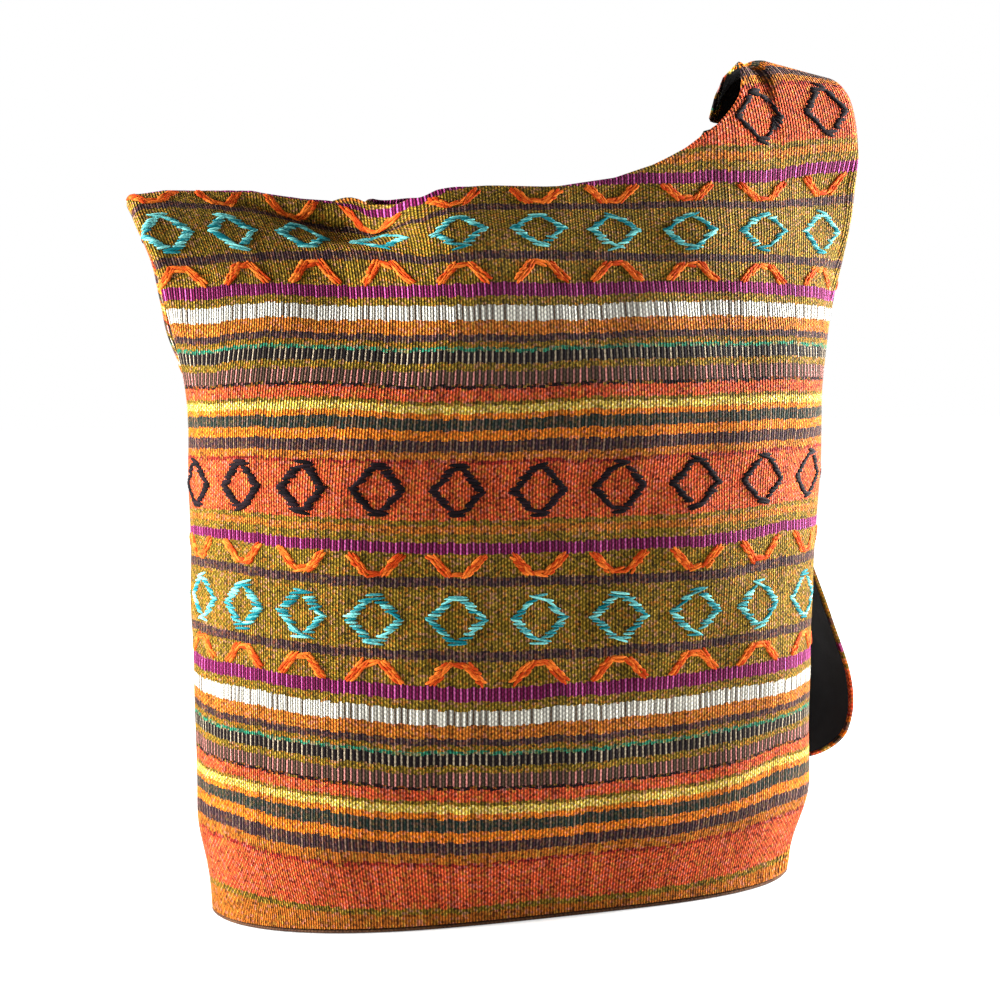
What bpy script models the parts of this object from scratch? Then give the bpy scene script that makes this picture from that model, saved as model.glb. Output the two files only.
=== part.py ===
"""A striped handloom shoulder bag, standing on its oval base with its strap hanging behind.

Metres, +Z up, front towards -Y, origin at the middle of the base. The cloth is drawn flat first:
a place on it is (along, up), along from the right side line by way of the front, and up from the
base edge. It is then folded round the body's rings and along the strap's path.
"""
import math

import bmesh
import bpy
import numpy as np

for old in list(bpy.data.objects):
    bpy.data.objects.remove(old)

# Cloth
CLOTH_THICKNESS = 0.0016
LINING_THICKNESS = 0.0009
BASE_GAP = 0.0003
LINING_GAP = 0.0004
STRAP_SEAM_GAP = 0.0008
LINING_SET_BACK = 0.0006
ROUGHNESS = 0.9
CREASE_ANGLE = 40
LEAST_SPREAD = 0.42

# Base
BASE_THICKNESS = 0.0024
BASE_LINING_THICKNESS = 0.0010
FOOT_ROUNDING = 0.008

# Body
BODY_HALF_WIDTH = 0.181
BODY_HALF_DEPTH = 0.078
BODY_HEIGHT = 0.398
MOUTH_HALF_WIDTH = 0.208
MOUTH_HALF_DEPTH = 0.040
DIP_DEPTH = 0.016
DIP_PLACE = -0.083
DIP_WIDTH = 0.026
DIP_START = 0.82
DIP_RISE = 0.16
BACK_DIP = 0.4
PRESS_START = 0.050
PRESS_REACH = 0.080

# The body narrows towards its foot on the right
FOOT_TAPER = 0.014
TAPER_HEIGHT = 0.260
TAPER_BOW = 3

# Strap
STRAP_WIDTH = 0.108
SIDE_BEND = 0.012
RIGHT_ROOT = 0.396
LEFT_ROOT = 0.356
ROOT_REACH = 0.112
ROOT_SPACE = 0.004
END_SPACE = 0.004
LEFT_BLEND = 0.156
SEAM_HEIGHT = 0.506
LONG_SPAN = 0.034
BEND_STEPS = 6

# Weave
MOTIFS_AROUND = 20
MOTIF_PITCH = 0.04455
DIAMOND_WIDTH = 0.033
DIAMOND_MARGIN = 0.0028
DIAMOND_HOLE = 0.62
ZIGZAG_LINE = 0.0034
ZIGZAG_MARGIN = 0.0012

FOOT = BASE_GAP + BASE_THICKNESS
COLUMN = round(MOTIF_PITCH / 2, 6)
AROUND = 2 * COLUMN * MOTIFS_AROUND
STRAP_EDGE = STRAP_WIDTH / 2

# The rings over the share of the body's height: how far the section has gone from the belly's to
# the mouth's, its corner fullness, its side pinch, and how flat its left end is pressed
RINGS = (
    (0.00, 0.00, 3.2, 0.50, 0.00),
    (0.03, 0.00, 3.2, 0.50, 0.00),
    (0.13, 0.00, 3.2, 0.50, 0.00),
    (0.30, 0.00, 3.2, 0.50, 0.00),
    (0.50, 0.00, 3.2, 0.50, 0.00),
    (0.63, 0.02, 3.1, 0.51, 0.00),
    (0.69, 0.10, 3.0, 0.55, 0.05),
    (0.75, 0.25, 2.8, 0.62, 0.18),
    (0.82, 0.50, 2.5, 0.73, 0.42),
    (0.88, 0.73, 2.25, 0.84, 0.61),
    (0.94, 0.91, 2.1, 0.94, 0.74),
    (1.00, 1.00, 2.0, 1.00, 0.76),
)

# The neckline: height on the cloth over the distance from the side line
NECKLINE = (
    (0.067, 0.468),
    (0.089, 0.436),
    (0.111, 0.415),
    (0.134, 0.404),
    (0.156, 0.399),
    (0.200, 0.396),
)

# The side line of the strap from the right root, over and down behind the body, round and up to
# the left root: place, the way the cloth's outer face looks, and how far the halves are folded
STRAP_PATH = (
    ((0.2070, 0.000, 0.420), (1.0, 0.0), 71),
    ((0.2060, 0.007, 0.439), (1.0, 0.0), 74),
    ((0.2045, 0.025, 0.448), (1.0, 0.0), 77),
    ((0.2030, 0.043, 0.440), (1.0, 0.0), 77),
    ((0.2020, 0.053, 0.420), (1.0, 0.0), 75),
    ((0.2010, 0.064, 0.372), (1.0, 0.0), 66),
    ((0.2020, 0.078, 0.315), (1.0, 0.0), 48),
    ((0.2060, 0.090, 0.250), (1.0, 0.0), 30),
    ((0.2130, 0.097, 0.190), (1.0, 0.0), 16),
    ((0.2240, 0.100, 0.135), (1.0, 0.0), 8),
    ((0.2320, 0.101, 0.094), (1.0, -0.1), 4),
    ((0.2280, 0.102, 0.068), (0.8, -0.6), 2),
    ((0.2130, 0.103, 0.055), (0.4, -0.9), 0),
    ((0.1930, 0.104, 0.050), (0.0, -1.0), 0),
    ((0.1620, 0.113, 0.053), (-0.2, -1.0), 0),
    ((0.1220, 0.130, 0.064), (-0.3, -0.95), 0),
    ((0.0550, 0.140, 0.095), (-0.4, -0.9), 0),
    ((-0.0200, 0.142, 0.143), (-0.5, -0.85), 4),
    ((-0.0900, 0.136, 0.198), (-0.6, -0.8), 12),
    ((-0.1450, 0.116, 0.252), (-0.75, -0.65), 30),
    ((-0.1820, 0.082, 0.302), (-0.9, -0.4), 55),
    ((-0.1980, 0.056, 0.330), (-1.0, -0.1), 76),
    ((-0.2040, 0.042, 0.352), (-1.0, 0.0), 84),
    ((-0.2055, 0.036, 0.368), (-1.0, 0.0), 86),
    ((-0.2060, 0.020, 0.3775), (-1.0, 0.0), 86),
    ((-0.2055, 0.003, 0.368), (-1.0, 0.0), 85),
)

COLOURS = {
    "olive": (0.235, 0.176, 0.036),
    "rust": (0.520, 0.160, 0.030),
    "orange": (0.760, 0.220, 0.030),
    "coral": (0.620, 0.110, 0.055),
    "magenta": (0.250, 0.020, 0.160),
    "white": (0.760, 0.720, 0.620),
    "yellow": (0.820, 0.590, 0.120),
    "turquoise": (0.070, 0.520, 0.500),
    "plum": (0.050, 0.022, 0.026),
    "black": (0.012, 0.008, 0.009),
    "green": (0.035, 0.230, 0.120),
    "lining": (0.010, 0.010, 0.011),
}

# The weave from the base up: height in millimetres, colour, motif and the motif's colour
STRIPES = (
    (6.3, "olive", None, None),
    (22.1, "coral", None, None),
    (6.8, "rust", None, None),
    (5.8, "plum", None, None),
    (6.0, "orange", None, None),
    (5.7, "plum", None, None),
    (3.0, "orange", None, None),
    (4.7, "yellow", None, None),
    (7.4, "coral", None, None),
    (9.1, "plum", None, None),
    (4.0, "olive", None, None),
    (6.3, "black", None, None),
    (4.8, "green", None, None),
    (3.6, "plum", None, None),
    (6.9, "rust", None, None),
    (7.9, "white", None, None),
    (5.7, "olive", None, None),
    (6.9, "magenta", None, None),
    (12.6, "olive", "hump", "orange"),
    (5.8, "plum", None, None),
    (32.5, "olive", "diamond", "turquoise"),
    (5.3, "plum", None, None),
    (13.2, "olive", "vee", "orange"),
    (5.2, "magenta", None, None),
    (4.6, "olive", None, None),
    (7.9, "rust", None, None),
    (29.4, "coral", "diamond", "black"),
    (6.5, "rust", None, None),
    (4.8, "plum", None, None),
    (6.0, "orange", None, None),
)
FIRST_REPEATED = 5
MILLIMETRE = 0.001


def smooth(value):
    """An S-shaped step from 0 to 1."""
    value = min(max(value, 0.0), 1.0)
    return value * value * (3 - 2 * value)


def weave_rows(top):
    """The stripes from the base edge up to a height: start, end, colour, motif, motif colour."""
    rows = []
    up = 0.0
    index = 0
    while up < top:
        height, colour, motif, accent = STRIPES[index]
        rows.append((up, up + height * MILLIMETRE, colour, motif, accent))
        up += height * MILLIMETRE
        index += 1
        if index == len(STRIPES):
            index = FIRST_REPEATED
    return rows


def ring_values(share):
    """The section at a share of the body's height."""
    shares = [ring[0] for ring in RINGS]
    closing, fullness, pinch, press = (
        float(np.interp(share, shares, [ring[i] for ring in RINGS])) for i in range(1, 5))
    half_width = BODY_HALF_WIDTH + (MOUTH_HALF_WIDTH - BODY_HALF_WIDTH) * closing
    half_depth = BODY_HALF_DEPTH + (MOUTH_HALF_DEPTH - BODY_HALF_DEPTH) * closing
    foot = FOOT_ROUNDING * (1 - smooth(share / RINGS[2][0]))
    return half_width - foot, half_depth - foot, fullness, pinch, press


def quarter(share, side):
    """One quarter of a ring, from the side line to the middle, as points and lengths."""
    half_width, half_depth, fullness, pinch, press = ring_values(share)
    angles = np.linspace(0, math.pi / 2, 121)
    x = half_width * np.cos(angles)
    y = half_depth * np.maximum(0, 1 - np.cos(angles) ** fullness) ** pinch
    if side < 0:
        flat = np.clip((x - PRESS_START) / PRESS_REACH, 0, 1)
        y = y * (1 - press * flat * flat * (3 - 2 * flat))
    lengths = np.concatenate(([0], np.cumsum(np.hypot(np.diff(x), np.diff(y)))))
    return side * x, y, lengths / lengths[-1]


def ring_point(share, along):
    """A place on a ring, at a distance along the cloth from the right side line."""
    turn = (along / AROUND * 4) % 4
    part = int(turn) % 4
    side = 1 if part in (0, 3) else -1
    reach = turn - part
    if part in (1, 3):
        reach = 1 - reach
    x_line, y_line, lengths = quarter(share, side)
    x = float(np.interp(reach, lengths, x_line))
    y = float(np.interp(reach, lengths, y_line))
    z = FOOT + share * (BODY_HEIGHT - FOOT)
    dip = DIP_DEPTH * math.exp(-((x - DIP_PLACE) / DIP_WIDTH) ** 2)
    dip *= smooth((share - DIP_START) / DIP_RISE)
    z -= dip if part < 2 else dip * BACK_DIP
    narrowing = FOOT_TAPER * max(x / BODY_HALF_WIDTH, 0.0) ** TAPER_BOW
    x -= narrowing * max(1 - z / TAPER_HEIGHT, 0.0)
    return np.array((x, -y if part < 2 else y, z))


def cloth_height(share):
    """How far up the cloth a ring lies, along the middle of the front."""
    steps = np.linspace(0, share, 41)
    depths = [ring_values(step)[1] for step in steps]
    return float(np.sum(np.hypot(np.diff(steps) * (BODY_HEIGHT - FOOT), np.diff(depths))))


def ring_heights():
    """Heights up the cloth, and the rings that lie there."""
    shares = np.linspace(0, 1.05, 106)
    return np.array([cloth_height(share) for share in shares]), shares


def unit(vector):
    return vector / np.linalg.norm(vector)


def band_point(station, front):
    """A place across the strap, at a distance from its side line towards its front edge."""
    middle, across, outer, fold = station
    place = middle.copy()
    way = -across if front > 0 else across
    bend = min(abs(front), SIDE_BEND)
    for index in range(BEND_STEPS):
        angle = math.radians(fold) * smooth((index + 0.5) / BEND_STEPS * bend / SIDE_BEND)
        place = place + (way * math.cos(angle) - outer * math.sin(angle)) * bend / BEND_STEPS
    rest = abs(front) - bend
    angle = math.radians(fold)
    return place + (way * math.cos(angle) - outer * math.sin(angle)) * rest


def path_stations():
    """The strap's stations on a smooth curve through its path, with their lengths along it."""
    places = [np.array(row[0]) for row in STRAP_PATH]
    values = [np.array((*row[0], row[1][0], row[1][1], row[2])) for row in STRAP_PATH]
    rows = []
    for index in range(len(values) - 1):
        before = values[max(index - 1, 0)]
        start, end = values[index], values[index + 1]
        after = values[min(index + 2, len(values) - 1)]
        pieces = 2 if np.linalg.norm(places[index + 1] - places[index]) > LONG_SPAN else 1
        for piece in range(pieces):
            t = piece / pieces
            rows.append(0.5 * ((2 * start) + (end - before) * t
                               + (2 * before - 5 * start + 4 * end - after) * t * t
                               + (3 * start - before - 3 * end + after) * t ** 3))
    rows.append(values[-1])
    stations = []
    for index, row in enumerate(rows):
        ahead = rows[min(index + 1, len(rows) - 1)][:3]
        behind = rows[max(index - 1, 0)][:3]
        run = unit(ahead - behind)
        outer = np.array((row[3], 0.0, row[4]))
        outer = unit(outer - run * np.dot(outer, run))
        stations.append((row[:3], np.cross(run, outer), outer, float(row[5])))
    return stations


class Flat:
    """A piece of cloth drawn flat, with the lines up it along which it is folded into place."""

    def __init__(self, columns, lines, limits, closed):
        self.columns = columns
        self.lines = lines
        self.limits = limits
        self.closed = closed
        self.coarse = sorted({up for line in lines for up in line[0]})

    def spans(self):
        """Neighbouring columns, as two indices and their two distances along."""
        count = len(self.columns)
        for index in range(count if self.closed else count - 1):
            start = self.columns[index]
            end = self.columns[index + 1] if index + 1 < count else AROUND
            yield index, (index + 1) % count, start, end


def on_line(line, up):
    """The place at a height on one line up the cloth."""
    heights, places = line
    return np.array([np.interp(up, heights, places[:, axis]) for axis in range(3)])


def as_line(rows):
    """Heights and places as a line up the cloth."""
    return [row[0] for row in rows], np.array([row[1] for row in rows])


def nearest(values, target):
    return min(values, key=lambda value: abs(value - target))


def split(polygon, line):
    """Cut a flat polygon by a straight line, into the part below or on it and the part above."""
    a, b, c = line
    sides = [a * u + b * v + c for u, v in polygon]
    parts = ([], [])
    for index, point in enumerate(polygon):
        other = (index + 1) % len(polygon)
        here, there = sides[index], sides[other]
        if here <= 1e-9:
            parts[0].append(point)
        if here >= -1e-9:
            parts[1].append(point)
        if (here < -1e-9 and there > 1e-9) or (here > 1e-9 and there < -1e-9):
            t = here / (here - there)
            crossing = (point[0] + (polygon[other][0] - point[0]) * t,
                        point[1] + (polygon[other][1] - point[1]) * t)
            parts[0].append(crossing)
            parts[1].append(crossing)
    kept = []
    for part in parts:
        area = sum(part[i - 1][0] * part[i][1] - part[i][0] * part[i - 1][1]
                   for i in range(len(part)))
        kept.append(part if abs(area) > 1e-10 else None)
    return kept


def motif_lines(motif, start, end, low, high):
    """The straight lines that draw a motif in one cell, and the test for what lies in it."""
    centre = round((start + end) / 4 / COLUMN) * 2 * COLUMN
    sign = 1 if (start + end) / 2 > centre else -1
    if motif == "diamond":
        middle = BAND_MIDDLES[(low, high)]
        half_width = DIAMOND_WIDTH / 2
        half_height = max(high - middle, middle - low) - DIAMOND_MARGIN
        up_sign = 1 if (low + high) / 2 > middle else -1

        def line(scale):
            return (sign / half_width, up_sign / half_height,
                    -sign * centre / half_width - up_sign * middle / half_height - scale)
        return (line(1.0), line(DIAMOND_HOLE)), lambda values: values[0] < 0 < values[1]
    slope = (high - low - 2 * ZIGZAG_MARGIN - ZIGZAG_LINE) / COLUMN
    if motif == "hump":
        base = high - ZIGZAG_MARGIN - ZIGZAG_LINE
        tilt = slope * sign
    else:
        base = low + ZIGZAG_MARGIN
        tilt = -slope * sign
    lower = (tilt, 1.0, -base - tilt * centre)
    upper = (tilt, 1.0, -base - ZIGZAG_LINE - tilt * centre)
    return (lower, upper), lambda values: values[1] < 0 < values[0]


BAND_MIDDLES = {}


def cell_pieces(polygon, motif, start, end, low, high):
    """The pieces of one cell of the weave, each with whether it belongs to the motif."""
    if motif is None:
        return [(polygon, False)]
    lines, inside = motif_lines(motif, start, end, low, high)
    pieces = [polygon]
    for line in lines:
        pieces = [part for piece in pieces for part in split(piece, line) if part]
    sorted_pieces = []
    for piece in pieces:
        u = sum(point[0] for point in piece) / len(piece)
        v = sum(point[1] for point in piece) / len(piece)
        sorted_pieces.append((piece, inside([a * u + b * v + c for a, b, c in lines])))
    return sorted_pieces


def flat_faces(flat, rows):
    """The faces of a flat piece, cut along its neckline, as flat points and a colour."""
    faces = []
    for low, high, colour, motif, accent in rows:
        for left, right, start, end in flat.spans():
            limits = flat.limits[left], flat.limits[right]
            polygon = [(start, low), (end, low), (end, high), (start, high)]
            slope = (limits[1] - limits[0]) / (end - start)
            polygon = split(polygon, (-slope, 1.0, slope * start - limits[0]))[0]
            if polygon is None:
                continue
            for piece, drawn in cell_pieces(polygon, motif, start, end, low, high):
                faces.append((piece, accent if drawn else colour))
    return faces


def key_of(point):
    return round(point[0] % AROUND, 6) % round(AROUND, 6), round(point[1], 6)


def edge_loops(faces):
    """The open edges of a set of faces, as rings of keys."""
    following = {}
    used = set()
    for face in faces:
        for index, key in enumerate(face):
            used.add((face[index - 1], key))
    for start, end in used:
        if (end, start) not in used:
            following[start] = end
    loops = []
    while following:
        start = min(following)
        loop = [start]
        key = following.pop(start)
        while key != start:
            loop.append(key)
            key = following.pop(key)
        loops.append(loop)
    return loops


def offset_lines(flat, depth):
    """The lines up the cloth, moved inwards by a depth, square to the cloth."""
    moved = []
    count = len(flat.columns)
    for index, (heights, places) in enumerate(flat.lines):
        new_places = []
        for row, up in enumerate(heights):
            place = places[row]
            ups = []
            if row > 0:
                ups.append(place - places[row - 1])
            if row < len(heights) - 1:
                ups.append(places[row + 1] - place)
            alongs = []
            if flat.closed or index > 0:
                alongs.append(place - on_line(flat.lines[index - 1], up))
            if flat.closed or index < count - 1:
                alongs.append(on_line(flat.lines[(index + 1) % count], up) - place)
            normals = [unit(np.cross(a, b)) for a in alongs for b in ups]
            normal = unit(sum(normals))
            spread = max(LEAST_SPREAD, min(float(np.dot(normal, other)) for other in normals))
            new_places.append(place + normal * depth / spread)
        moved.append((heights, np.array(new_places)))
    return moved


def place_on(flat, lines, point):
    """Where a flat point lies on a layer of the cloth."""
    along, up = point
    for left, right, start, end in flat.spans():
        if start - 1e-7 <= along <= end + 1e-7:
            share = min(max((along - start) / (end - start), 0.0), 1.0)
            return on_line(lines[left], up) * (1 - share) + on_line(lines[right], up) * share
    raise ValueError("a point lies off the cloth")


def cloth_solid(name, flat, rows, outer_depth, inner_depth, colours):
    """A closed solid of cloth: an outer face, an inner face and the cut edges between them."""
    layers = []
    coarse = [(low, high, "lining", None, None)
              for low, high in zip(flat.coarse[:-1], flat.coarse[1:])]
    mesh_build = bmesh.new()
    for depth, layer_rows in ((outer_depth, rows or coarse), (inner_depth, coarse)):
        lines = offset_lines(flat, depth) if depth else flat.lines
        vertices = {}
        faces = []
        for piece, colour in flat_faces(flat, layer_rows):
            keys = []
            for point in piece:
                key = key_of(point)
                if key not in vertices:
                    vertices[key] = mesh_build.verts.new(place_on(flat, lines, point))
                if key not in keys:
                    keys.append(key)
            faces.append((keys, colour))
        layers.append((vertices, faces))
    (outer, outer_faces), (inner, inner_faces) = layers
    for keys, colour in outer_faces:
        for second, third in zip(keys[1:-1], keys[2:]):
            face = mesh_build.faces.new((outer[keys[0]], outer[second], outer[third]))
            face.material_index = colours.index(colour) if colour in colours else 0
    for keys, colour in inner_faces:
        for second, third in zip(keys[1:-1], keys[2:]):
            mesh_build.faces.new((inner[keys[0]], inner[third], inner[second]))
    outer_loops = edge_loops([keys for keys, colour in outer_faces])
    inner_loops = edge_loops([keys for keys, colour in inner_faces])
    for loop in inner_loops:
        match = next(other for other in outer_loops if loop[0] in other)
        begin = match.index(loop[0])
        match = match[begin:] + match[:begin] + [loop[0]]
        loop = loop + [loop[0]]
        spot = 0
        for start, end in zip(loop[:-1], loop[1:]):
            chain = [match[spot]]
            while chain[-1] != end or len(chain) == 1:
                spot += 1
                chain.append(match[spot])
            corners = [outer[key] for key in reversed(chain)] + [inner[start], inner[end]]
            mesh_build.faces.new(corners)
    bmesh.ops.triangulate(mesh_build, faces=mesh_build.faces)
    bmesh.ops.recalc_face_normals(mesh_build, faces=mesh_build.faces)
    mesh = bpy.data.meshes.new(name)
    mesh_build.to_mesh(mesh)
    mesh_build.free()
    for colour in colours:
        mesh.materials.append(material(colour))
    mesh.shade_smooth()
    mesh.set_sharp_from_angle(angle=math.radians(CREASE_ANGLE))
    piece = bpy.data.objects.new(name, mesh)
    bpy.context.scene.collection.objects.link(piece)
    return piece


def material(colour):
    """The cotton of one colour."""
    name = "cotton_" + colour
    made = bpy.data.materials.get(name)
    if made is None:
        made = bpy.data.materials.new(name)
        made.use_nodes = True
        shader = made.node_tree.nodes["Principled BSDF"]
        shader.inputs["Base Color"].default_value = (*COLOURS[colour], 1.0)
        shader.inputs["Roughness"].default_value = ROUGHNESS
        shader.inputs["Metallic"].default_value = 0.0
    return made


def neckline(distance, seam):
    """The cut height at a distance from the side line."""
    if distance <= STRAP_EDGE + 1e-6:
        return seam
    return float(np.interp(distance, [row[0] for row in NECKLINE], [row[1] for row in NECKLINE]))


def body_flat(rows, marks):
    """The body cloth drawn flat, with its rings and both strap roots."""
    heights_up, shares = ring_heights()
    columns = sorted({round(index * COLUMN, 6) for index in range(2 * MOTIFS_AROUND)}
                     | {round(side + edge, 6) for side, edge in (
                         (0, STRAP_EDGE), (AROUND, -STRAP_EDGE),
                         (AROUND / 2, STRAP_EDGE), (AROUND / 2, -STRAP_EDGE))})
    ends = sorted({row[0] for row in rows} | {row[1] for row in rows})
    ring_ups = sorted({nearest(ends, cloth_height(ring[0])) for ring in RINGS})
    right_mark, left_mark = marks
    lines = []
    limits = []
    for along in columns:
        from_right = along if along < AROUND / 2 else along - AROUND
        from_left = AROUND / 2 - along
        near, marked = (from_right, right_mark) if abs(from_right) < abs(from_left) else (
            from_left, left_mark)
        share = min(max((LEFT_BLEND - abs(near)) / (LEFT_BLEND - ROOT_REACH), 0.0), 1.0)
        if marked is right_mark:
            share = math.floor(share)
        tongue = [(up, band_point(station, near)) for up, station in marked] if share else []
        root = tongue[0][0] - ROOT_SPACE if tongue else math.inf
        ring_line = [(up, ring_point(float(np.interp(up, heights_up, shares)), along))
                     for up in ring_ups]
        line = [row for row in ring_line if row[0] < root]
        if share == 1.0:
            line += tongue
        elif share:
            leaning = sorted({up for up, place in ring_line + tongue if up >= root})
            line += [(up, on_line(as_line(ring_line), up) * (1 - share)
                      + on_line(as_line(tongue), up) * share) for up in leaning]
        heights, places = as_line(line)
        lines.append((heights, places))
        limits.append(neckline(min(abs(from_right), abs(from_left)), rows[-1][1]))
    return Flat(columns, lines, limits, True)


def strap_flat(marks):
    """The strap drawn flat: along is the distance from its back edge, up its length."""
    inner = [index * COLUMN for index in range(-2, 3)]
    columns = [-STRAP_EDGE] + inner + [STRAP_EDGE]
    lines = []
    for front in columns:
        heights = [up for up, station in marks]
        lines.append((heights, np.array([band_point(station, front) for up, station in marks])))
    return Flat(columns, lines, [marks[-1][0]] * len(columns), False)


def weave_between(start, end):
    """The rows between two heights. A motif band that an end cuts through is left plain, and
    each diamond band is cut at its middle, which its diamonds need."""
    rows = []
    for low, high, colour, motif, accent in weave_rows(end):
        if high <= start + 1e-6 or low >= end - 1e-6:
            continue
        if low < start - 1e-6 or high > end + 1e-6:
            motif = None
        low, high = round(max(low, start), 6), round(min(high, end), 6)
        if motif == "diamond":
            middle = round((low + high) / 2, 6)
            BAND_MIDDLES[(low, middle)] = BAND_MIDDLES[(middle, high)] = middle
            rows.append((low, middle, colour, motif, accent))
            rows.append((middle, high, colour, motif, accent))
        else:
            rows.append((low, high, colour, motif, accent))
    return rows


def row_ends(rows):
    return [row[0] for row in rows] + [rows[-1][1]]


def station_at(marks, up):
    """The station at a height up the cloth, between the two nearest ones."""
    heights = [mark[0] for mark in marks]
    index = min(max(int(np.searchsorted(heights, up)), 1), len(marks) - 1)
    (low, before), (high, after) = marks[index - 1], marks[index]
    share = (up - low) / (high - low)
    middle, across, outer, fold = (
        before[part] + (after[part] - before[part]) * share for part in range(4))
    outer = unit(outer)
    return middle, unit(across - outer * np.dot(across, outer)), outer, fold


def mark_heights(stations, root):
    """The stations with their heights up the cloth, from a root."""
    marks = [(root, stations[0])]
    for before, after in zip(stations[:-1], stations[1:]):
        length = float(np.linalg.norm(after[0] - before[0]))
        marks.append((marks[-1][0] + length, after))
    return marks


def marks_on(marks, ends):
    """Stations at the stripe ends nearest to the marks, with the first and last end."""
    inside = [up for up, station in marks if ends[0] + END_SPACE < up < ends[-1] - END_SPACE]
    heights = sorted({nearest(ends, up) for up in inside} | {ends[0], ends[-1]})
    return [(up, station_at(marks, up)) for up in heights]


def oval_slab(name, inset, low, high, colour):
    """A flat oval the shape of the body's foot, drawn in by an inset."""
    count = 2 * MOTIFS_AROUND
    outline = [ring_point(0.0, index * AROUND / count) for index in range(count)]
    points = []
    for index, point in enumerate(outline):
        run = unit(outline[(index + 1) % count] - outline[index - 1])
        inward = np.array((run[1], -run[0], 0.0))
        points.append(point + inward * inset)
    slab = bmesh.new()
    lower = [slab.verts.new((point[0], point[1], low)) for point in points]
    upper = [slab.verts.new((point[0], point[1], high)) for point in points]
    slab.faces.new(lower)
    slab.faces.new(upper)
    for index in range(count):
        other = (index + 1) % count
        slab.faces.new((lower[index], lower[other], upper[other], upper[index]))
    bmesh.ops.recalc_face_normals(slab, faces=slab.faces)
    mesh = bpy.data.meshes.new(name)
    slab.to_mesh(mesh)
    slab.free()
    mesh.materials.append(material(colour))
    piece = bpy.data.objects.new(name, mesh)
    bpy.context.scene.collection.objects.link(piece)
    return piece


def make_bag():
    stations = path_stations()
    seam = nearest(row_ends(weave_rows(SEAM_HEIGHT)), SEAM_HEIGHT)
    body_rows = weave_between(0.0, seam)
    body_ends = row_ends(body_rows)

    right_root = cloth_height(RIGHT_ROOT / BODY_HEIGHT) + STRAP_PATH[0][0][2] - RIGHT_ROOT
    left_root = cloth_height(LEFT_ROOT / BODY_HEIGHT) + STRAP_PATH[-1][0][2] - LEFT_ROOT
    forward = mark_heights(stations, right_root)
    backward = mark_heights(stations[::-1], left_root)
    right_ends = [up for up in body_ends if up >= nearest(body_ends, right_root)]
    left_ends = [up for up in body_ends if up >= nearest(body_ends, left_root)]
    body = body_flat(body_rows, (marks_on(forward, right_ends), marks_on(backward, left_ends)))

    strap_end = forward[-1][0] - (seam - left_root)
    strap_rows = weave_between(seam + STRAP_SEAM_GAP, strap_end - STRAP_SEAM_GAP)
    strap = strap_flat(marks_on(forward, row_ends(strap_rows)))
    set_back = STRAP_SEAM_GAP + LINING_SET_BACK
    lining_rows = weave_between(seam + set_back, strap_end - set_back)
    strap_inside = strap_flat(marks_on(forward, row_ends(lining_rows)))

    lining_top = CLOTH_THICKNESS + LINING_GAP
    lining_inside = lining_top + LINING_THICKNESS
    colours = [colour for colour in COLOURS if colour != "lining"]
    cloth_solid("body_cloth", body, body_rows, 0.0, CLOTH_THICKNESS, colours)
    cloth_solid("strap_cloth", strap, strap_rows, 0.0, CLOTH_THICKNESS, colours)
    cloth_solid("body_lining", body, None, lining_top, lining_inside, ["lining"])
    cloth_solid("strap_lining", strap_inside, None, lining_top, lining_inside, ["lining"])
    oval_slab("base_cloth", 0.0, 0.0, BASE_THICKNESS, "plum")
    lining_inset = lining_inside + LINING_GAP
    oval_slab("base_lining", lining_inset, FOOT, FOOT + BASE_LINING_THICKNESS, "lining")


make_bag()
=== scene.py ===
import functools
import math

import bpy
import numpy as np
from bpy.props import FloatProperty, FloatVectorProperty, PointerProperty
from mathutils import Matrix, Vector


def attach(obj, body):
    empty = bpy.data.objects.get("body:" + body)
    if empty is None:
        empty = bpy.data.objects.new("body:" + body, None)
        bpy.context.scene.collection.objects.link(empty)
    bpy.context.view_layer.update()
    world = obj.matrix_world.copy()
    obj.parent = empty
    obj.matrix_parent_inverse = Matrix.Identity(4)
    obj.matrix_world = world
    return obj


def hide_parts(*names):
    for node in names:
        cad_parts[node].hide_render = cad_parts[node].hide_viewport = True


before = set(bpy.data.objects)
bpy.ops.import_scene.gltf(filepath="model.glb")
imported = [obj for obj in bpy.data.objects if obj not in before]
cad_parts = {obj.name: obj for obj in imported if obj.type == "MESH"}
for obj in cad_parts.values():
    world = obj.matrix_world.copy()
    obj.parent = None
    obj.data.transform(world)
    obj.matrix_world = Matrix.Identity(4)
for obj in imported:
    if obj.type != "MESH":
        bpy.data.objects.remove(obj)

bl_info = {
    "name": "Handloom shoulder bag",
    "version": (1, 0, 0),
    "blender": (4, 5, 0),
    "location": "View3D > Sidebar > Bag",
    "description": "A striped handloom cotton bag with a wide strap, standing on its oval base",
    "category": "Add Mesh",
}

# The cloth is drawn flat first: along is the distance from the right side line by way of the
# front, up is the height on the cloth. Both are in metres, and both are the cloth's UV map.
MILLIMETRE = 0.001
MOTIF_PITCH = 0.04455
AROUND = 20 * MOTIF_PITCH
COLUMN = 0.0027
COLUMNS = 330
STRAP_EDGE = 0.054
STRAP_COLUMNS = 41
SEAM_HEIGHT = 0.506
TUBE_HEIGHT = 0.300
TUBE_ROWS = 90
RIM_ROWS = 50
STRAP_ROW = 0.0031

# Body
FOOT = 0.0027
FOOT_ROUNDING = 0.008
BODY_HEIGHT = 0.398
BODY_HALF = (0.181, 0.078)
FOOT_TAPER = 0.014
TAPER_HEIGHT = 0.260
MOUTH_HALF = (0.208, 0.040)
DIP_DEPTH = 0.016
DIP_PLACE = -0.083
DIP_WIDTH = 0.026
PRESS_START = 0.050
PRESS_REACH = 0.080
RIGHT_ROOT = 0.396
LEFT_ROOT = 0.356
ROOT_REACH = 0.112
BLEND_REACH = 0.152
SIDE_BENDS = (0.012, 0.007)
FRONT_LEAN = 5.0
LEAN_REACH = 0.15

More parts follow.
